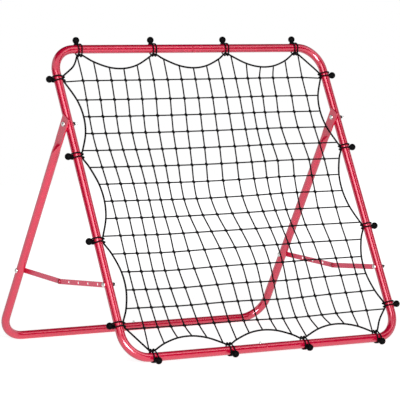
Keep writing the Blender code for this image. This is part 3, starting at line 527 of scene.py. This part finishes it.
def rearHalf(side):
    # Half of the folding leg: lug, tube, bend and bar, then back inside as the bore up to a point.
    legAt = side * half + legShift
    joint = leg["jointOffset"] + legShift
    end = joint - gap if side < 0 else joint
    places, ways = bentLine([(legAt, 0, -leg["lugFade"]), (legAt, 0, -size["legLength"]),
                             (end, 0, -size["legLength"])])
    radii = np.full(len(places), tube)
    if side > 0:
        places, ways, radii = plugged(places[::-1], -ways[::-1])
        places, ways, radii = places[::-1], -ways[::-1], radii[::-1]
    tip = np.broadcast_to((legAt, 0, -leg["boreFrom"]), (1, frontTube["sides"], 3))
    return onLeg(joined(lugRows()[:-1] + (legAt, 0, 0), *skins(places, ways, radii), tip))


for side, word in hands:
    # the leg wears the lighter copy of the tube powder, which is painted light
    surface("rearFrame" + word, [rearHalf(side)], paintedLitLegCoat, "rear_frame")
print("leg bent and pressed")

# Brace straps
strap = dict(wide=0.015, endPitch=0.036, slack=0.00076, holes=6, holeWide=0.008, plainPitch=0.216, rows=4,
             steps=9, foldRoom=0.0005, crease=60, softEdge=0.00035, softRows=2, softFrom=50)


def strapCell(hole, before, after):
    # The flat round one hole: rings from the hole's rim out to the cell's outline, which is a rectangle with
    # a half circle on a side where no other cell follows. Ring k is rim + (outline - rim)*k.
    edge, steps = strap["wide"] / 2, strap["steps"]
    rise = edge * np.linspace(-1, 1, steps)
    bow = np.linspace(-math.pi / 2, math.pi / 2, steps)
    bowed = edge * np.stack([np.cos(bow), np.sin(bow)], -1)
    right = np.stack([np.full(steps, after), rise], -1) if after else bowed
    left = -np.stack([np.full(steps, before), rise], -1) if before else -bowed
    share = np.linspace(0, 1, steps)[1:-1, None]
    upper = right[-1] + (left[0] - right[-1]) * share
    lower = left[-1] + (right[0] - left[-1]) * share
    outline = joined(right, upper, left, lower)
    rim = unit(outline) * strap["holeWide"] / 2
    grade = np.linspace(0, 1, strap["rows"])[:, None, None]
    return rim + (outline - rim) * grade + (hole, 0)


def strapPiece(name, holes, start, end, body, room=0.0):
    # All cells of one strap, laid from its first hole's place to its last's, then given thickness and soft
    # edges. Room is taken off the face on the +x side, which comes beside the round tube when the leg is
    # folded.
    gaps = np.diff(holes) / 2
    cells = [strapCell(*cell) for cell in zip(holes, [0, *gaps], [*gaps, 0])]
    start, end = start - (room / 2, 0, 0), end - (room / 2, 0, 0)
    along = unit(end - start)
    through = unit(np.array((1.0, 0, 0)) - along * along[0])
    across = np.cross(through, along)
    grids = [start + cell[..., :1] * along + cell[..., 1:] * across for cell in cells]
    lays = [joined(cell, cell[:, :1], way=1) for cell in cells]
    piece = surface(name, grids, strapRed, body, lays=lays, crease=strap["crease"], solid=False)
    sheet = piece.modifiers.new("thickness", "SOLIDIFY")
    sheet.thickness = thick - room
    sheet.offset = 0
    edges = piece.modifiers.new("softEdges", "BEVEL")
    edges.width = strap["softEdge"]
    edges.segments = strap["softRows"]
    edges.limit_method = "ANGLE"
    edges.angle_limit = math.radians(strap["softFrom"])


frontBolt = onSlope((0, 0, size["braceUp"]))
rearBolt = onLeg((0, 0, -size["braceDown"]))
perforatedPitch = float(np.linalg.norm(rearBolt - frontBolt)) + strap["slack"] - strap["plainPitch"]
holePitch = (perforatedPitch - strap["endPitch"]) / (strap["holes"] - 2)
perforatedHoles = [0.0] + [strap["endPitch"] + holePitch * step for step in range(strap["holes"] - 1)]
strapOut = tube + size["strapGap"] + thick / 2  # a strap's middle lies this far from its tube's
lap = (thick + gap) / 2


def kneeAt(frontLength, rearLength):
    # the straps' meeting point below the line between their bolts, from the two circles' crossing
    run = rearBolt - frontBolt
    reach = np.linalg.norm(run)
    near = (frontLength ** 2 - rearLength ** 2 + reach ** 2) / (2 * reach)
    drop = math.sqrt(frontLength ** 2 - near ** 2)
    run = run / reach
    return frontBolt + run * near + np.array((0, run[2], -run[1])) * drop


# the front strap is the perforated one on the left and the plain one on the right
kinds = (("perforated", perforatedPitch, perforatedHoles),
         ("plain", strap["plainPitch"], [0.0, strap["plainPitch"]]))
knees = {}
for side, word in hands:
    (frontKind, frontLength, frontHoles), (rearKind, rearLength, rearHoles) = kinds[::-side]
    frontX = side * half - strapOut
    rearX = side * half + legShift + strapOut
    kneeX = frontX + (rearX - frontX) * frontLength / (frontLength + rearLength)
    knees[side] = kneeAt(frontLength, rearLength) + (kneeX, 0, 0)
    strapPiece(frontKind + "Strap" + word, frontHoles, frontBolt + (frontX, 0, 0), knees[side] - (lap, 0, 0),
               "front_strap_" + word.lower(), strap["foldRoom"] if frontKind == "plain" else 0)
    strapPiece(rearKind + "Strap" + word, rearHoles, rearBolt + (rearX, 0, 0), knees[side] + (lap, 0, 0),
               "rear_strap_" + word.lower())
print("straps punched")

# Bolts and nuts
bolt = dict(shank=0.003, head=0.0073, headHigh=0.0045, washer=0.0006, domeRows=12, domeTo=0.16, domePower=0.9,
            threadPitch=0.001, threadDeep=0.0003, threadLong=0.016, threadAllTo=0.020, threadStep=0.00017,
            tip=0.0008, tipIn=0.0009, sides=36)
nut = dict(across=0.010, high=0.0045, collar=0.0045, collarHigh=0.002, bore=0.0033, past=0.008, sides=72,
           turned=dict(pivot=0.2, frontBrace=0.5, rearBrace=0.9, knee=0.35))


def lathe(rows, radii, sides, seat, axis=(-1, 0, 0), around=(0, 1, 0)):
    # a ring at each height along the axis: seat + axis*height + radius*(around*cos + other*sin)
    axis, around, radii = (np.asarray(value, float) for value in (axis, around, radii))
    turn = circle(sides)[:, None]
    spokes = around * np.cos(turn) + np.cross(axis, around) * np.sin(turn)
    radii = radii[:, None] if radii.ndim == 1 else radii
    return seat + axis * np.asarray(rows)[:, None, None] + radii[..., None] * spokes


def threaded(rows):
    # radii of a helical saw: the shank less the thread's depth times the distance to the nearest crest
    phase = (rows[:, None] / bolt["threadPitch"] + np.arange(bolt["sides"]) / bolt["sides"]) % 1
    return bolt["shank"] - bolt["threadDeep"] * np.abs(2 * phase - 1)


def boltGrid(seat, shank):
    # A domed head, radius*cos against height*sin of a rising angle, on a thin flange. Below it the shank is
    # plain where it is long, then threaded.
    rise = np.linspace(math.pi / 2, bolt["domeTo"], bolt["domeRows"])
    dome = bolt["head"] * np.cos(rise) ** bolt["domePower"]
    plain = [bolt["threadLong"] - shank] if shank > bolt["threadAllTo"] else []
    threadFrom, threadTo = plain[0] if plain else 0.0, bolt["tip"] - shank
    turns = np.linspace(threadFrom, threadTo, 1 + round((threadFrom - threadTo) / bolt["threadStep"]))[1:]
    rows = joined(bolt["washer"] + (bolt["headHigh"] - bolt["washer"]) * np.sin(rise), [bolt["washer"], 0, 0],
                  plain, turns, [-shank] * 2)
    smooth = joined([0], dome[1:], [bolt["head"]] * 2, [bolt["shank"]] * (1 + len(plain)))
    end = np.array([[bolt["shank"] - bolt["tipIn"]], [0]])
    radii = joined(np.repeat(smooth[:, None], bolt["sides"], 1), threaded(turns),
                   np.repeat(end, bolt["sides"], 1))
    return lathe(rows, radii, bolt["sides"], seat)


def nutGrid(seat, where):
    # A hexagon, apothem/cos of the angle from the nearest flat, cut by a cone at both faces, with a round
    # collar on its right; the bore closes it. The profile's pairs are a height and the cone's radius there.
    angle = circle(nut["sides"]) + nut["turned"][where]
    fromFlat = (angle + math.pi / 6) % (math.pi / 3) - math.pi / 6
    high, top, rim, bore = nut["high"], nut["high"] + nut["collarHigh"], nut["collar"], nut["bore"]
    profile = np.array([
        (0, bore), (0, 0.0049), (0.0004, 0.0053), (0.0009, 0.0060), (high - 0.0007, 0.0060),
        (high - 0.0002, 0.0054), (high, 0.0050), (high, rim), (top - 0.0008, rim),
        (top - 0.0002, rim - 0.0003), (top, rim - 0.0010), (top, bore), (0, bore)])
    radii = np.minimum(profile[:, 1:], nut["across"] / 2 / np.cos(fromFlat))
    return lathe(profile[:, 0], radii, nut["sides"], seat, axis=(1, 0, 0))


nutThick = nut["high"] + nut["collarHigh"]
throughTube = 2 * tube + nutThick + nut["past"]
pivotShank = 3 * gap + size["lugThick"] + throughTube
braceShank = thick + 2 * size["strapGap"] + gap + throughTube
kneeShank = thick + size["strapGap"]
stub = dict(past=0.0048, rows=60)  # the knee bolt's threaded end, which rides with the nut
stubEnd = nutThick + stub["past"]
stubRows = joined([stubEnd], np.linspace(stubEnd, 0.0, stub["rows"]), [-kneeShank] * 2)
stubRadii = threaded(stubRows)
stubRadii[[0, -1]] = 0
for side, word in hands:
    lower = word.lower()
    pivotSeat = pivotAt + (side * half - tube - 2 * gap - size["lugThick"], 0, 0)
    frontSeat = frontBolt + (side * half - strapOut - thick / 2 - size["strapGap"], 0, 0)
    rearSeat = rearBolt + (side * half + legShift - tube - gap, 0, 0)
    for name, seat, shank, body in (("pivot", pivotSeat, pivotShank, "front_frame"),
                                    ("frontBrace", frontSeat, braceShank, "front_frame"),
                                    ("rearBrace", rearSeat, braceShank, "rear_frame")):
        surface(name + "Bolt" + word, [boltGrid(seat, shank)], brightZinc, body)
        # in the CAD a brace's bolt and nut are one solid, so its nut replaces nothing
        nutSeat = seat + (shank - nut["past"] - nutThick, 0, 0)
        surface(name + "Nut" + word, [nutGrid(nutSeat, name)], darkNut, body,
                node=None if name == "pivot" else "", closeRows=True)
    away = (lap + thick / 2 + size["strapGap"], 0, 0)
    surface("kneeBolt" + word, [boltGrid(knees[side] - away, kneeShank)], rivetRed, "front_strap_" + lower)
    surface("kneeNut" + word, [nutGrid(knees[side] + away, "knee")], darkNut, "rear_strap_" + lower,
            closeRows=True)
    stubGrid = lathe(stubRows, stubRadii, bolt["sides"], knees[side] + away, axis=(1, 0, 0))
    surface("kneeStub" + word, [stubGrid], brightZinc, "rear_strap_" + lower, node="")
print("bolts and nuts turned")

# Snap buttons on leaf springs inside the plugs
button = dict(radius=0.003, out=0.005, flange=0.004, flangeHigh=0.001, frontIn=0.0145, rearIn=0.019, rows=10,
              sides=40)
spring = dict(wide=0.007, thick=0.0005, long=0.038, past=0.0045, bend=0.003, steps=9)
boreFlat = (plug["radius"] - size["wall"]) * facetFlat
flangeTop = math.sqrt(boreFlat ** 2 - button["flange"] ** 2) - gap
flangeBase = flangeTop - button["flangeHigh"]


def buttonGrid(place):
    # a half-round top, radius*cos against radius*sin, on a straight pin with a flange below
    rise = np.linspace(math.pi / 2, 0, button["rows"])
    top = tube + button["out"] - button["radius"]
    rows = joined(top + button["radius"] * np.sin(rise), [flangeTop] * 2, [flangeBase] * 2)
    radii = joined(button["radius"] * np.cos(rise), [button["radius"], button["flange"], button["flange"], 0])
    radii[0] = 0
    return lathe(rows, radii, button["sides"], place, axis=(0, 0, 1), around=(1, 0, 0))


def springGrid(place):
    # A leaf bent to a V: each corner is the curve p*(1 - t)^2 + corner*2*t*(1 - t) + q*t^2 between the places
    # p and q on its two sides, and each point carries a thin rectangle. The ends close on their middles.
    upper = flangeBase - gap - spring["thick"] / 2
    lower = spring["thick"] / 2 + gap - math.sqrt(boreFlat ** 2 - spring["wide"] ** 2 / 4)
    corners = np.array([(spring["past"], 0, upper), (-spring["past"], 0, upper),
                        (-spring["long"], 0, lower), (spring["past"], 0, lower)])
    share = np.linspace(0, 1, spring["steps"])[:, None]
    line = [corners[:1]]
    for before, corner, after in zip(corners, corners[1:], corners[2:]):
        near, far = (corner + unit(other - corner) * spring["bend"] for other in (before, after))
        line.append(near * (1 - share) ** 2 + corner * 2 * share * (1 - share) + far * share ** 2)
    line = joined(*line, corners[-1:])
    lift = unit(np.cross(np.gradient(line, axis=0), (0, 1, 0)))[:, None] * spring["thick"] / 2
    edge = np.array((0, 1, 0)) * spring["wide"] / 2
    rows = line[:, None] + joined(lift + edge, lift - edge, -lift - edge, -lift + edge, way=1)
    first, last = (np.repeat(rows[end].mean(0)[None, None], 4, 1) for end in (0, -1))
    return place + joined(first, rows, last), place[2] + lower, place[2] + upper - spring["thick"]


buttonPlaces = (("Front", onSlope((-frontTube["jointOffset"] - button["frontIn"], 0, 0))),
                ("Rear", onLeg((leg["jointOffset"] + legShift - button["rearIn"], 0, -size["legLength"]))))
for word, place in buttonPlaces:
    surface("snapButton" + word, [buttonGrid(place)], buttonGrey, word.lower() + "_button")
for word, place in buttonPlaces:
    grid, low, high = springGrid(place)
    leaf = surface("snapSpring" + word, [grid], springSteel, None)
    word.lower() + "_frame"
    word.lower() + "_button"
    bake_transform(leaf)
print("snap buttons set")

# Border rope and net, both a little thicker than in the CAD, as the photograph shows them.
# cornerSlack gives each corner its share of the way and its slack, clockwise from the top left.
rope = dict(wide=0.0052, inTop=0.0183, inBottom=0.018, inSide=0.0168, sagTop=0.044, sagBottom=0.034,
            sagSide=0.037, tieClear=0.0088, between=5, sides=12, tiesTop=(-0.377, -0.125, 0.129, 0.381),
            tiesBottom=(-0.381, -0.1265, 0.1295, 0.389), tiesSide=(0.842, 0.604, 0.348, 0.099),
            cornerSlack=((0.42, 0.0085), (0.5, 0.0), (0.5, 0.004), (0.5, 0.0)))
# The net's slack is a list of pockets: middle along and up, width, height, shift to the right and back.
net = dict(columns=17, rows=15, left=-0.384, pitch=0.048, top=0.8362, rowPitch=0.0519, endPitch=0.0597,
           sinkFrom=9, sinkOver=4, sink=0.008, twine=0.0021, pull=0.42, sides=8, between=6, slant=0.9,
           crease=80, knot=dict(long=0.0060, wide=0.0044, ring=8),
           hitch=dict(long=0.0034, wide=0.0029, ring=10),
           slack=((-0.22, 0.23, 0.14, 0.18, -0.021, 0.014), (0.14, 0.13, 0.16, 0.11, -0.006, 0.018),
                  (-0.02, 0.46, 0.21, 0.14, -0.048, 0.011), (-0.15, 0.66, 0.29, 0.13, -0.024, 0.005),
                  (0.26, 0.48, 0.09, 0.38, -0.036, -0.003), (0.31, 0.385, 0.08, 0.07, -0.011, 0.0),
                  (0.27, 0.57, 0.09, 0.05, 0.011, 0.0), (0.31, 0.70, 0.09, 0.07, -0.007, 0.0),
                  (-0.16, 0.28, 0.09, 0.05, -0.006, 0.0)))
flat = (size["strandPitch"] + size["tieLayer"]) / 2  # the rope lies level this far on both sides of a tie


def sideLine(ties, level, sag, cords, lowCorner, highCorner):
    # One side of the rope, as places along it and distances out from the net's middle. Between two ties it
    # hangs as a parabola, level - sag*4*share*(1 - share); at a tie it lies level; past the outer ties it
    # runs straight to the next side's last tie. Gives the line and where each cord meets it.
    ties = np.sort(np.asarray(ties, float))
    nearest = ties[np.abs(cords[:, None] - ties).argmin(1)]
    away = cords - nearest
    cords = np.where(np.abs(away) < rope["tieClear"], nearest + np.copysign(rope["tieClear"], away), cords)

    def out(place):
        slot = np.searchsorted(ties, place)
        inside = (slot > 0) & (slot < len(ties))
        before = ties[np.clip(slot - 1, 0, None)] + flat
        after = ties[np.clip(slot, None, len(ties) - 1)] - flat
        share = np.clip((place - before) / np.where(inside, after - before, 1), 0, 1)
        hung = level - sag * 4 * share * (1 - share)
        low, high = ties[0] - flat, ties[-1] + flat
        below = level + (lowCorner[1] - level) * (place - low) / (lowCorner[0] - low)
        above = level + (highCorner[1] - level) * (place - high) / (highCorner[0] - high)
        straight = np.where(place < low, below, np.where(place > high, above, level))
        return np.where(inside, hung, straight)

    places = np.sort(joined(cords, ties - flat, ties + flat))
    return places, out(places), cords, out(cords)


def rowHeights():
    # even rows between taller first and last cells; the lowest rows have sunk a little under the net's weight
    number, last = np.arange(net["rows"]), net["rows"] - 1
    steps = np.clip(number, 1, last - 1) - 1
    ends = np.clip(number, 0, 1) + (number == last)
    sunk = net["sink"] * np.clip((number - net["sinkFrom"]) / net["sinkOver"], 0, 1)
    return net["top"] - net["rowPitch"] * steps - net["endPitch"] * ends - sunk


topLevel, bottomLevel, edgeLevel = (half - rope[key] for key in ("inTop", "inBottom", "inSide"))
columns = net["left"] + net["pitch"] * np.arange(net["columns"])
rows = rowHeights() - half
sideTies = np.asarray(rope["tiesSide"]) - half
topCorner, bottomCorner = sideTies.max() + flat, flat - sideTies.min()
topLine = sideLine(rope["tiesTop"], topLevel, rope["sagTop"], columns,
                   (-edgeLevel, topCorner), (edgeLevel, topCorner))
bottomLine = sideLine(rope["tiesBottom"], bottomLevel, rope["sagBottom"], columns,
                      (-edgeLevel, bottomCorner), (edgeLevel, bottomCorner))
sideLines = {}
for side in (-1, 1):
    lowTie, highTie = ((side * np.array(rope[key])).max() + flat for key in ("tiesBottom", "tiesTop"))
    sideLines[side] = sideLine(sideTies, edgeLevel, rope["sagSide"], rows,
                               (-bottomLevel, lowTie), (topLevel, highTie))


def inNet(along, up):
    return np.stack([along, np.zeros_like(along), half + up], -1)


def cornerPoint(start, finish, share, slack):
    # where the rope hangs slack between two sides: start + (finish - start)*share, moved in to the net by
    # the slack
    point = start + (finish - start) * share
    return (point + unit(np.array((0, 0, half)) - point) * slack)[None]


ropeSides = [inNet(topLine[0], topLine[1]), inNet(sideLines[1][1], sideLines[1][0])[::-1],
             inNet(bottomLine[0], -bottomLine[1])[::-1], inNet(-sideLines[-1][1], sideLines[-1][0])]
ropeRuns = []
for number, run in enumerate(ropeSides):
    share, slack = rope["cornerSlack"][number]
    ropeRuns += [cornerPoint(run[0], ropeSides[number - 1][-1], share, slack), run] if slack else [run]


def smoothLine(points, between, closed=False, pull=0.5):
    # A curve through every point: cubic pieces whose slope at a point is pull times the run from the point
    # before to the one after. Works on one path or on a stack of them, along the last axis but one.
    points = np.asarray(points, float)
    if closed:
        ahead = np.roll(points, -1, -2)
        slopes = (ahead - np.roll(points, 1, -2)) * pull
        ends = points, ahead, slopes, np.roll(slopes, -1, -2)
    else:
        inner = (points[..., 2:, :] - points[..., :-2, :]) * pull
        slopes = joined(points[..., 1:2, :] - points[..., :1, :], inner,
                        points[..., -1:, :] - points[..., -2:-1, :], way=-2)
        ends = points[..., :-1, :], points[..., 1:, :], slopes[..., :-1, :], slopes[..., 1:, :]
    start, finish, startSlope, endSlope = (end[..., None, :] for end in ends)
    share = np.linspace(0, 1, between, endpoint=False)[:, None]
    line = (start * (1 + 2 * share) * (1 - share) ** 2 + startSlope * share * (1 - share) ** 2
            + finish * share ** 2 * (3 - 2 * share) + endSlope * share ** 2 * (share - 1))
    line = line.reshape(*line.shape[:-3], -1, 3)
    return line if closed else joined(line, points[..., -1:, :], way=-2)


def waysAlong(points, closed=False):
    # direction at each point, from the point before to the one after
    if closed:
        return unit(np.roll(points, -1, -2) - np.roll(points, 1, -2))
    return unit(np.gradient(points, axis=-2))


ropeRun = smoothLine(joined(*ropeRuns), rope["between"], closed=True)
ropeGrid = onSlope(ringsRound(ropeRun, waysAlong(ropeRun, True), (0, 1, 0), rope["wide"] / 2, rope["sides"]))
surface("borderRope", [ropeGrid], ropeBraid, "front_frame", closeRows=True)
print("border rope laid")


def slackAt(along, up):
    # how far the hanging net has moved sideways and back: a sum of round pockets, each falling off as
    # exp(-square of the distance over its size)
    aside, back = np.zeros_like(along), np.zeros_like(along)
    for middleAt, height, wide, tall, shift, depth in net["slack"]:
        weight = np.exp(-((along - middleAt) / wide) ** 2 - ((up - height) / tall) ** 2)
        aside += shift * weight
        back += depth * weight
    return aside, back


allColumns, allRows = np.meshgrid(columns, rows + half)
aside, back = slackAt(allColumns, allRows)
knots = np.stack([allColumns + aside, back, allRows], -1)
topEnds = inNet(topLine[2], topLine[3])
bottomEnds = inNet(bottomLine[2], -bottomLine[3])
leftEnds = inNet(-sideLines[-1][3], sideLines[-1][2])
rightEnds = inNet(sideLines[1][3], sideLines[1][2])
upCords = joined(topEnds[None], knots, bottomEnds[None]).transpose(1, 0, 2)
acrossCords = joined(leftEnds[:, None], knots, rightEnds[:, None], way=1)


def cordGrids(cords):
    # round cords through their knots, each closed to a point at both ends
    run = smoothLine(cords, net["between"], pull=net["pull"])
    grid = ringsRound(run, waysAlong(run), (0, 1, 0), net["twine"], net["sides"])
    first, last = (np.broadcast_to(run[:, [end], None], grid[:, :1].shape) for end in (0, -1))
    return list(onSlope(joined(first, grid, last, way=1)))


surface("netCords", cordGrids(upCords) + cordGrids(acrossCords), netTwine, "front_frame",
        node="net_mesh")


def lumpGrids(places, ways, lump, rows=5):
    # small lumps, long*cos and wide*sin of the angle from one pole to the other, lying along their ways
    swing = np.linspace(0, math.pi, rows)[:, None, None]
    turn = circle(lump["ring"])[:, None]
    way = unit(ways)[:, None, None]
    side = unit(np.cross(ways, (0, 1, 0)))[:, None, None]
    out = side * np.cos(turn) + np.array((0, 1.0, 0)) * np.sin(turn)
    spread = way * lump["long"] * np.cos(swing) + out * lump["wide"] * np.sin(swing)
    return list(onSlope(places[:, None, None] + spread))


knotWays = waysAlong(upCords)[:, 1:-1].transpose(1, 0, 2)
slant = unit(knotWays + waysAlong(acrossCords)[:, 1:-1] * net["slant"])
hitches = joined(topEnds, bottomEnds, leftEnds, rightEnds)
hitchWays = unit(joined(*(cords[:, near] - cords[:, end] for cords in (upCords, acrossCords)
                          for near, end in ((1, 0), (-2, -1)))))
for name, grids in (("netKnots", lumpGrids(knots.reshape(-1, 3), slant.reshape(-1, 3), net["knot"])),
                    ("netHitches", lumpGrids(hitches, np.cross(hitchWays, (0, 1, 0)), net["hitch"]))):
    surface(name, grids, netTwine, "front_frame", node="", crease=net["crease"])
print("net knotted")

# Ball ties, with their cord a little thicker than in the CAD
# A loop's strand has four runs, each with its rows; two of them stop short of the neck, by a share of its
# turn. Layers says how far the hook stands off the tube at its end, middle and start, in layers of cord.
tie = dict(neck=0.00525, hookTurn=math.radians(50), cordWide=0.0042, sides=10, between=4,
           runRows=(7, 6, 8, 5), neckShares=(0.8, 0.9), layers=(1.1, 0.9, 0.3), seam=0.00012, seamWide=0.05,
           waist=0.0006, meetRoom=0.16, ballRows=30, neckRows=9, ballSides=36)


def loopLine(ropeIn, ballAngle):
    # One elastic loop in its own axes, x to the rope, y to the front, z along the tube: two strands that
    # mirror each other. Each starts behind the ball's neck, close to the other, runs up the back of the tube
    # as an arc that moves out to half the strands' pitch, turns round the rope, comes over the front of the
    # tube and hooks round the neck from the front.
    ropeTrack = rope["wide"] / 2 + gap + size["tieCord"] / 2
    neckTrack = tie["neck"] + gap + size["tieCord"] / 2
    leave = math.acos((tieTrack - ropeTrack) / ropeIn)
    near, apart = size["tieLayer"] / 2, size["strandPitch"] / 2
    neckTurn = neckTrack / tieTrack
    behindRows, tipRows, overRows, hookRows = tie["runRows"]
    behindShare, overShare = tie["neckShares"]

    def arc(start, finish, centre, track, steps, first, last):
        turn, along = np.linspace(start, finish, steps), np.linspace(first, last, steps)
        return np.stack([centre + track * np.cos(turn), track * np.sin(turn), along], -1)

    start = ballAngle - 2 * math.pi + neckTurn * behindShare
    behind = arc(start, -leave, 0, tieTrack, behindRows, near, apart)
    tip = arc(-leave, leave, ropeIn, ropeTrack, tipRows, apart, apart)
    over = arc(leave, ballAngle - neckTurn * overShare, 0, tieTrack, overRows, apart, neckTrack * overShare)
    ball = np.array((math.cos(ballAngle), math.sin(ballAngle), 0))
    ahead = np.array((-math.sin(ballAngle), math.cos(ballAngle), 0))
    steps = np.linspace(2, 0, hookRows)
    turn = (steps * tie["hookTurn"])[:, None]
    height = tieTrack + size["tieLayer"] * np.interp(steps, (0, 1, 2), tie["layers"])
    hook = ball * height[:, None] + (ahead * np.cos(turn) + np.array((0, 0, 1)) * np.sin(turn)) * neckTrack
    strand = joined(behind, tip, over, hook)
    return joined(strand, strand[-2::-1] * (1, 1, -1))


def ballGrid(centre, toward):
    # A ball, radius*cos against radius*sin, its two halves parted by a faint ridge; the neck leaves it in a
    # small hollow curve and flares a little where it sits on the tube.
    meet = math.asin(tie["neck"] / size["ball"])
    swing = np.linspace(math.pi / 2, meet + tie["meetRoom"] - math.pi / 2, tie["ballRows"])
    radii = (size["ball"] + tie["seam"] * np.exp(-(swing / tie["seamWide"]) ** 2)) * np.cos(swing)
    rows = size["ballOut"] + size["ball"] * np.sin(swing)
    foot = tube + gap
    share = np.linspace(0, 1, tie["neckRows"])[1:]
    hollow = (radii[-1] - tie["neck"]) * (1 - share) ** 4
    waist = tie["neck"] - tie["waist"] * np.sin(math.pi * share) + hollow
    rows = joined(rows, rows[-1] + (foot - rows[-1]) * share, [foot])
    radii = joined([0], radii[1:], waist, [0])
    aside = unit(np.cross(toward, (0.31, 0.2, 0.93)))  # any way that isn't along the ball's own axis
    return lathe(rows, radii, tie["ballSides"], centre, axis=toward, around=aside)


bottomBall = math.pi / 2 + ballDrop + size["tilt"]
tieSides = (("Top", rope["tiesTop"], (0, 0, -1), rope["inTop"], math.pi, span),
            ("Bottom", rope["tiesBottom"], (0, 0, 1), rope["inBottom"], bottomBall, 0.0),
            ("Left", rope["tiesSide"], (1, 0, 0), rope["inSide"], math.pi, -half),
            ("Right", rope["tiesSide"], (-1, 0, 0), rope["inSide"], math.pi, half))
for word, places, toward, ropeIn, ballAngle, level in tieSides:
    front = (0, -1.0, 0)
    axes = np.array([toward, front, np.cross(toward, front)])
    line = smoothLine(loopLine(ropeIn, ballAngle), tie["between"], closed=True)
    fromTube = unit(line * (1, 1, 0))
    grid = ringsRound(line, waysAlong(line, True), fromTube, tie["cordWide"] / 2, tie["sides"])
    outward = np.array((math.cos(ballAngle), math.sin(ballAngle), 0)) @ axes
    for number, spot in enumerate(places, 1):
        centre = np.array((spot, 0, level) if toward[2] else (level, 0, spot))
        surface("tieLoop" + word + str(number), [onSlope(grid @ axes + centre)], blackElastic, "front_frame",
                closeRows=True)
        surface("tieBall" + word + str(number), [onSlope(ballGrid(centre, outward))], blackPlastic,
                "front_frame")
print("balls tied")

# Floor, background, lamps and cards
studio = dict(floorColour=(0.86, 0.86, 0.86), floorSize=14, floorDrop=0.0003, ambient=0.16, nearGlow=0.80,
              fadeFrom=1.0, fadeTo=3.0, aim=(0, 0, 0.4))


def seenOnly(recipe):
    # 1 to what the camera, a gloss or glass looks at, 0 to what only lights the object
    path = recipe.node("ShaderNodeLightPath").socket.node
    eye, gloss, glass = (Wire(recipe, path.outputs["Is %s Ray" % rays])
                         for rays in ("Camera", "Glossy", "Transmission"))
    seen = eye + gloss + glass
    return seen.maths("MINIMUM", seen, 1.0)


def flatSheet(name, place, aim, wide, tall, look):
    # a flat rectangle facing its aim: place + side*wide + up*tall
    away = unit(np.subtract(aim, place))
    side = unit(np.cross(away, (0.01, 0.0, 1.0)))
    up = np.cross(side, away)
    ends = ((-0.5, -0.5), (0.5, -0.5), (0.5, 0.5), (-0.5, 0.5))
    corners = [place + side * wide * across + up * tall * rise for across, rise in ends]
    mesh = bpy.data.meshes.new(name)
    mesh.from_pydata([tuple(corner) for corner in corners], [], [(0, 1, 2, 3)])
    mesh.materials.append(look)
    sheet = bpy.data.objects.new(name, mesh)
    bpy.context.scene.collection.objects.link(sheet)
    return sheet


# The paper floor takes the object's shadow. Its glow, which lights nothing, grows with the distance from the
# object, so that the floor runs into the white background without a line.
paper = Recipe("studioFloor")
distance = paper.node("ShaderNodeVectorMath", {"operation": "LENGTH"}, {0: paper.place()}, give="Value")
glow = seenOnly(paper) * paper.ease(distance, studio["fadeFrom"], studio["fadeTo"], studio["nearGlow"], 1.0)
paper.done(colour=studio["floorColour"], rough=0.95, gloss=0.0, glow=glow, glowPower=1.0)
floor = flatSheet("studioFloor", (0, 0, -studio["floorDrop"]), (0, 0, 1), studio["floorSize"],
                  studio["floorSize"], paper.material)

world = bpy.data.worlds.new("studio")
bpy.context.scene.world = world
world.use_nodes = True
sky = Recipe(tree=world.node_tree)
skyGlow = sky.ease(seenOnly(sky), 0.0, 1.0, studio["ambient"], 1.0)
sky.feed(sky.tree.nodes["Background"].inputs["Color"], skyGlow)

# soft lamps: a big one in front, two softboxes for the highlights on the tubes, which only glosses see,
# and one behind that only matt surfaces see, other than the floor
lamps = (
    dict(name="frontLamp", place=(-2.1, -4.8, 0.85), wide=3.0, tall=1.8, power=320, diffuse=True, gloss=True),
    dict(name="leftBox", place=(-2.1, -2.55, 2.93), wide=1.9, tall=1.5, power=32, diffuse=False, gloss=True),
    dict(name="barBox", place=(2.3, -2.9, 2.9), wide=2.6, tall=0.5, power=9, diffuse=False, gloss=True),
    dict(name="backLamp", place=(1.4, 4.6, 0.8), wide=2.6, tall=1.4, power=120, diffuse=True, gloss=False),
)
for lamp in lamps:
    data = bpy.data.lights.new(lamp["name"], "AREA")
    data.shape = "RECTANGLE"
    data.size, data.size_y = lamp["wide"], lamp["tall"]
    data.energy = lamp["power"]
    item = bpy.data.objects.new(lamp["name"], data)
    bpy.context.scene.collection.objects.link(item)
    item.visible_diffuse = lamp["diffuse"]
    item.visible_glossy = lamp["gloss"]
    item.visible_camera = False
    if not lamp["gloss"]:
        unlit = bpy.data.collections.new(lamp["name"] + "Unlit")
        unlit.objects.link(floor)
        unlit.collection_objects[0].light_linking.link_state = "EXCLUDE"
        item.light_linking.receiver_collection = unlit
    spot = Matrix.Translation(lamp["place"])
    away = spot.translation - Matrix.Translation(studio["aim"]).translation
    item.matrix_world = spot @ away.to_track_quat("Z", "Y").to_matrix().to_4x4()

# black cards that only glosses see, hung as a photographer hangs them to draw dark lines along the tubes
cards = (
    dict(name="topCard", place=(1.0, 1.5, 5.0), wide=7.0, tall=7.4),
    dict(name="leftCard", place=(-3.6, 0.95, 1.4), wide=3.4, tall=2.3),
    dict(name="highCard", place=(0.1, -4.3, 4.1), wide=4.6, tall=2.2),
    dict(name="lowCard", place=(2.3, -3.4, 1.25), wide=2.6, tall=2.6),
    dict(name="rightCard", place=(3.2, -1.6, 2.1), wide=2.4, tall=1.4),
)
cardBlack = Recipe("cardBlack").done(colour=(0.02, 0.02, 0.02), rough=1.0, gloss=0.0)
for card in cards:
    sheet = flatSheet(card["name"], card["place"], studio["aim"], card["wide"], card["tall"], cardBlack)
    for rays in ("camera", "diffuse", "transmission", "shadow"):
        setattr(sheet, "visible_" + rays, False)
bpy.context.scene.view_settings.view_transform = "Standard"
print("studio lit")
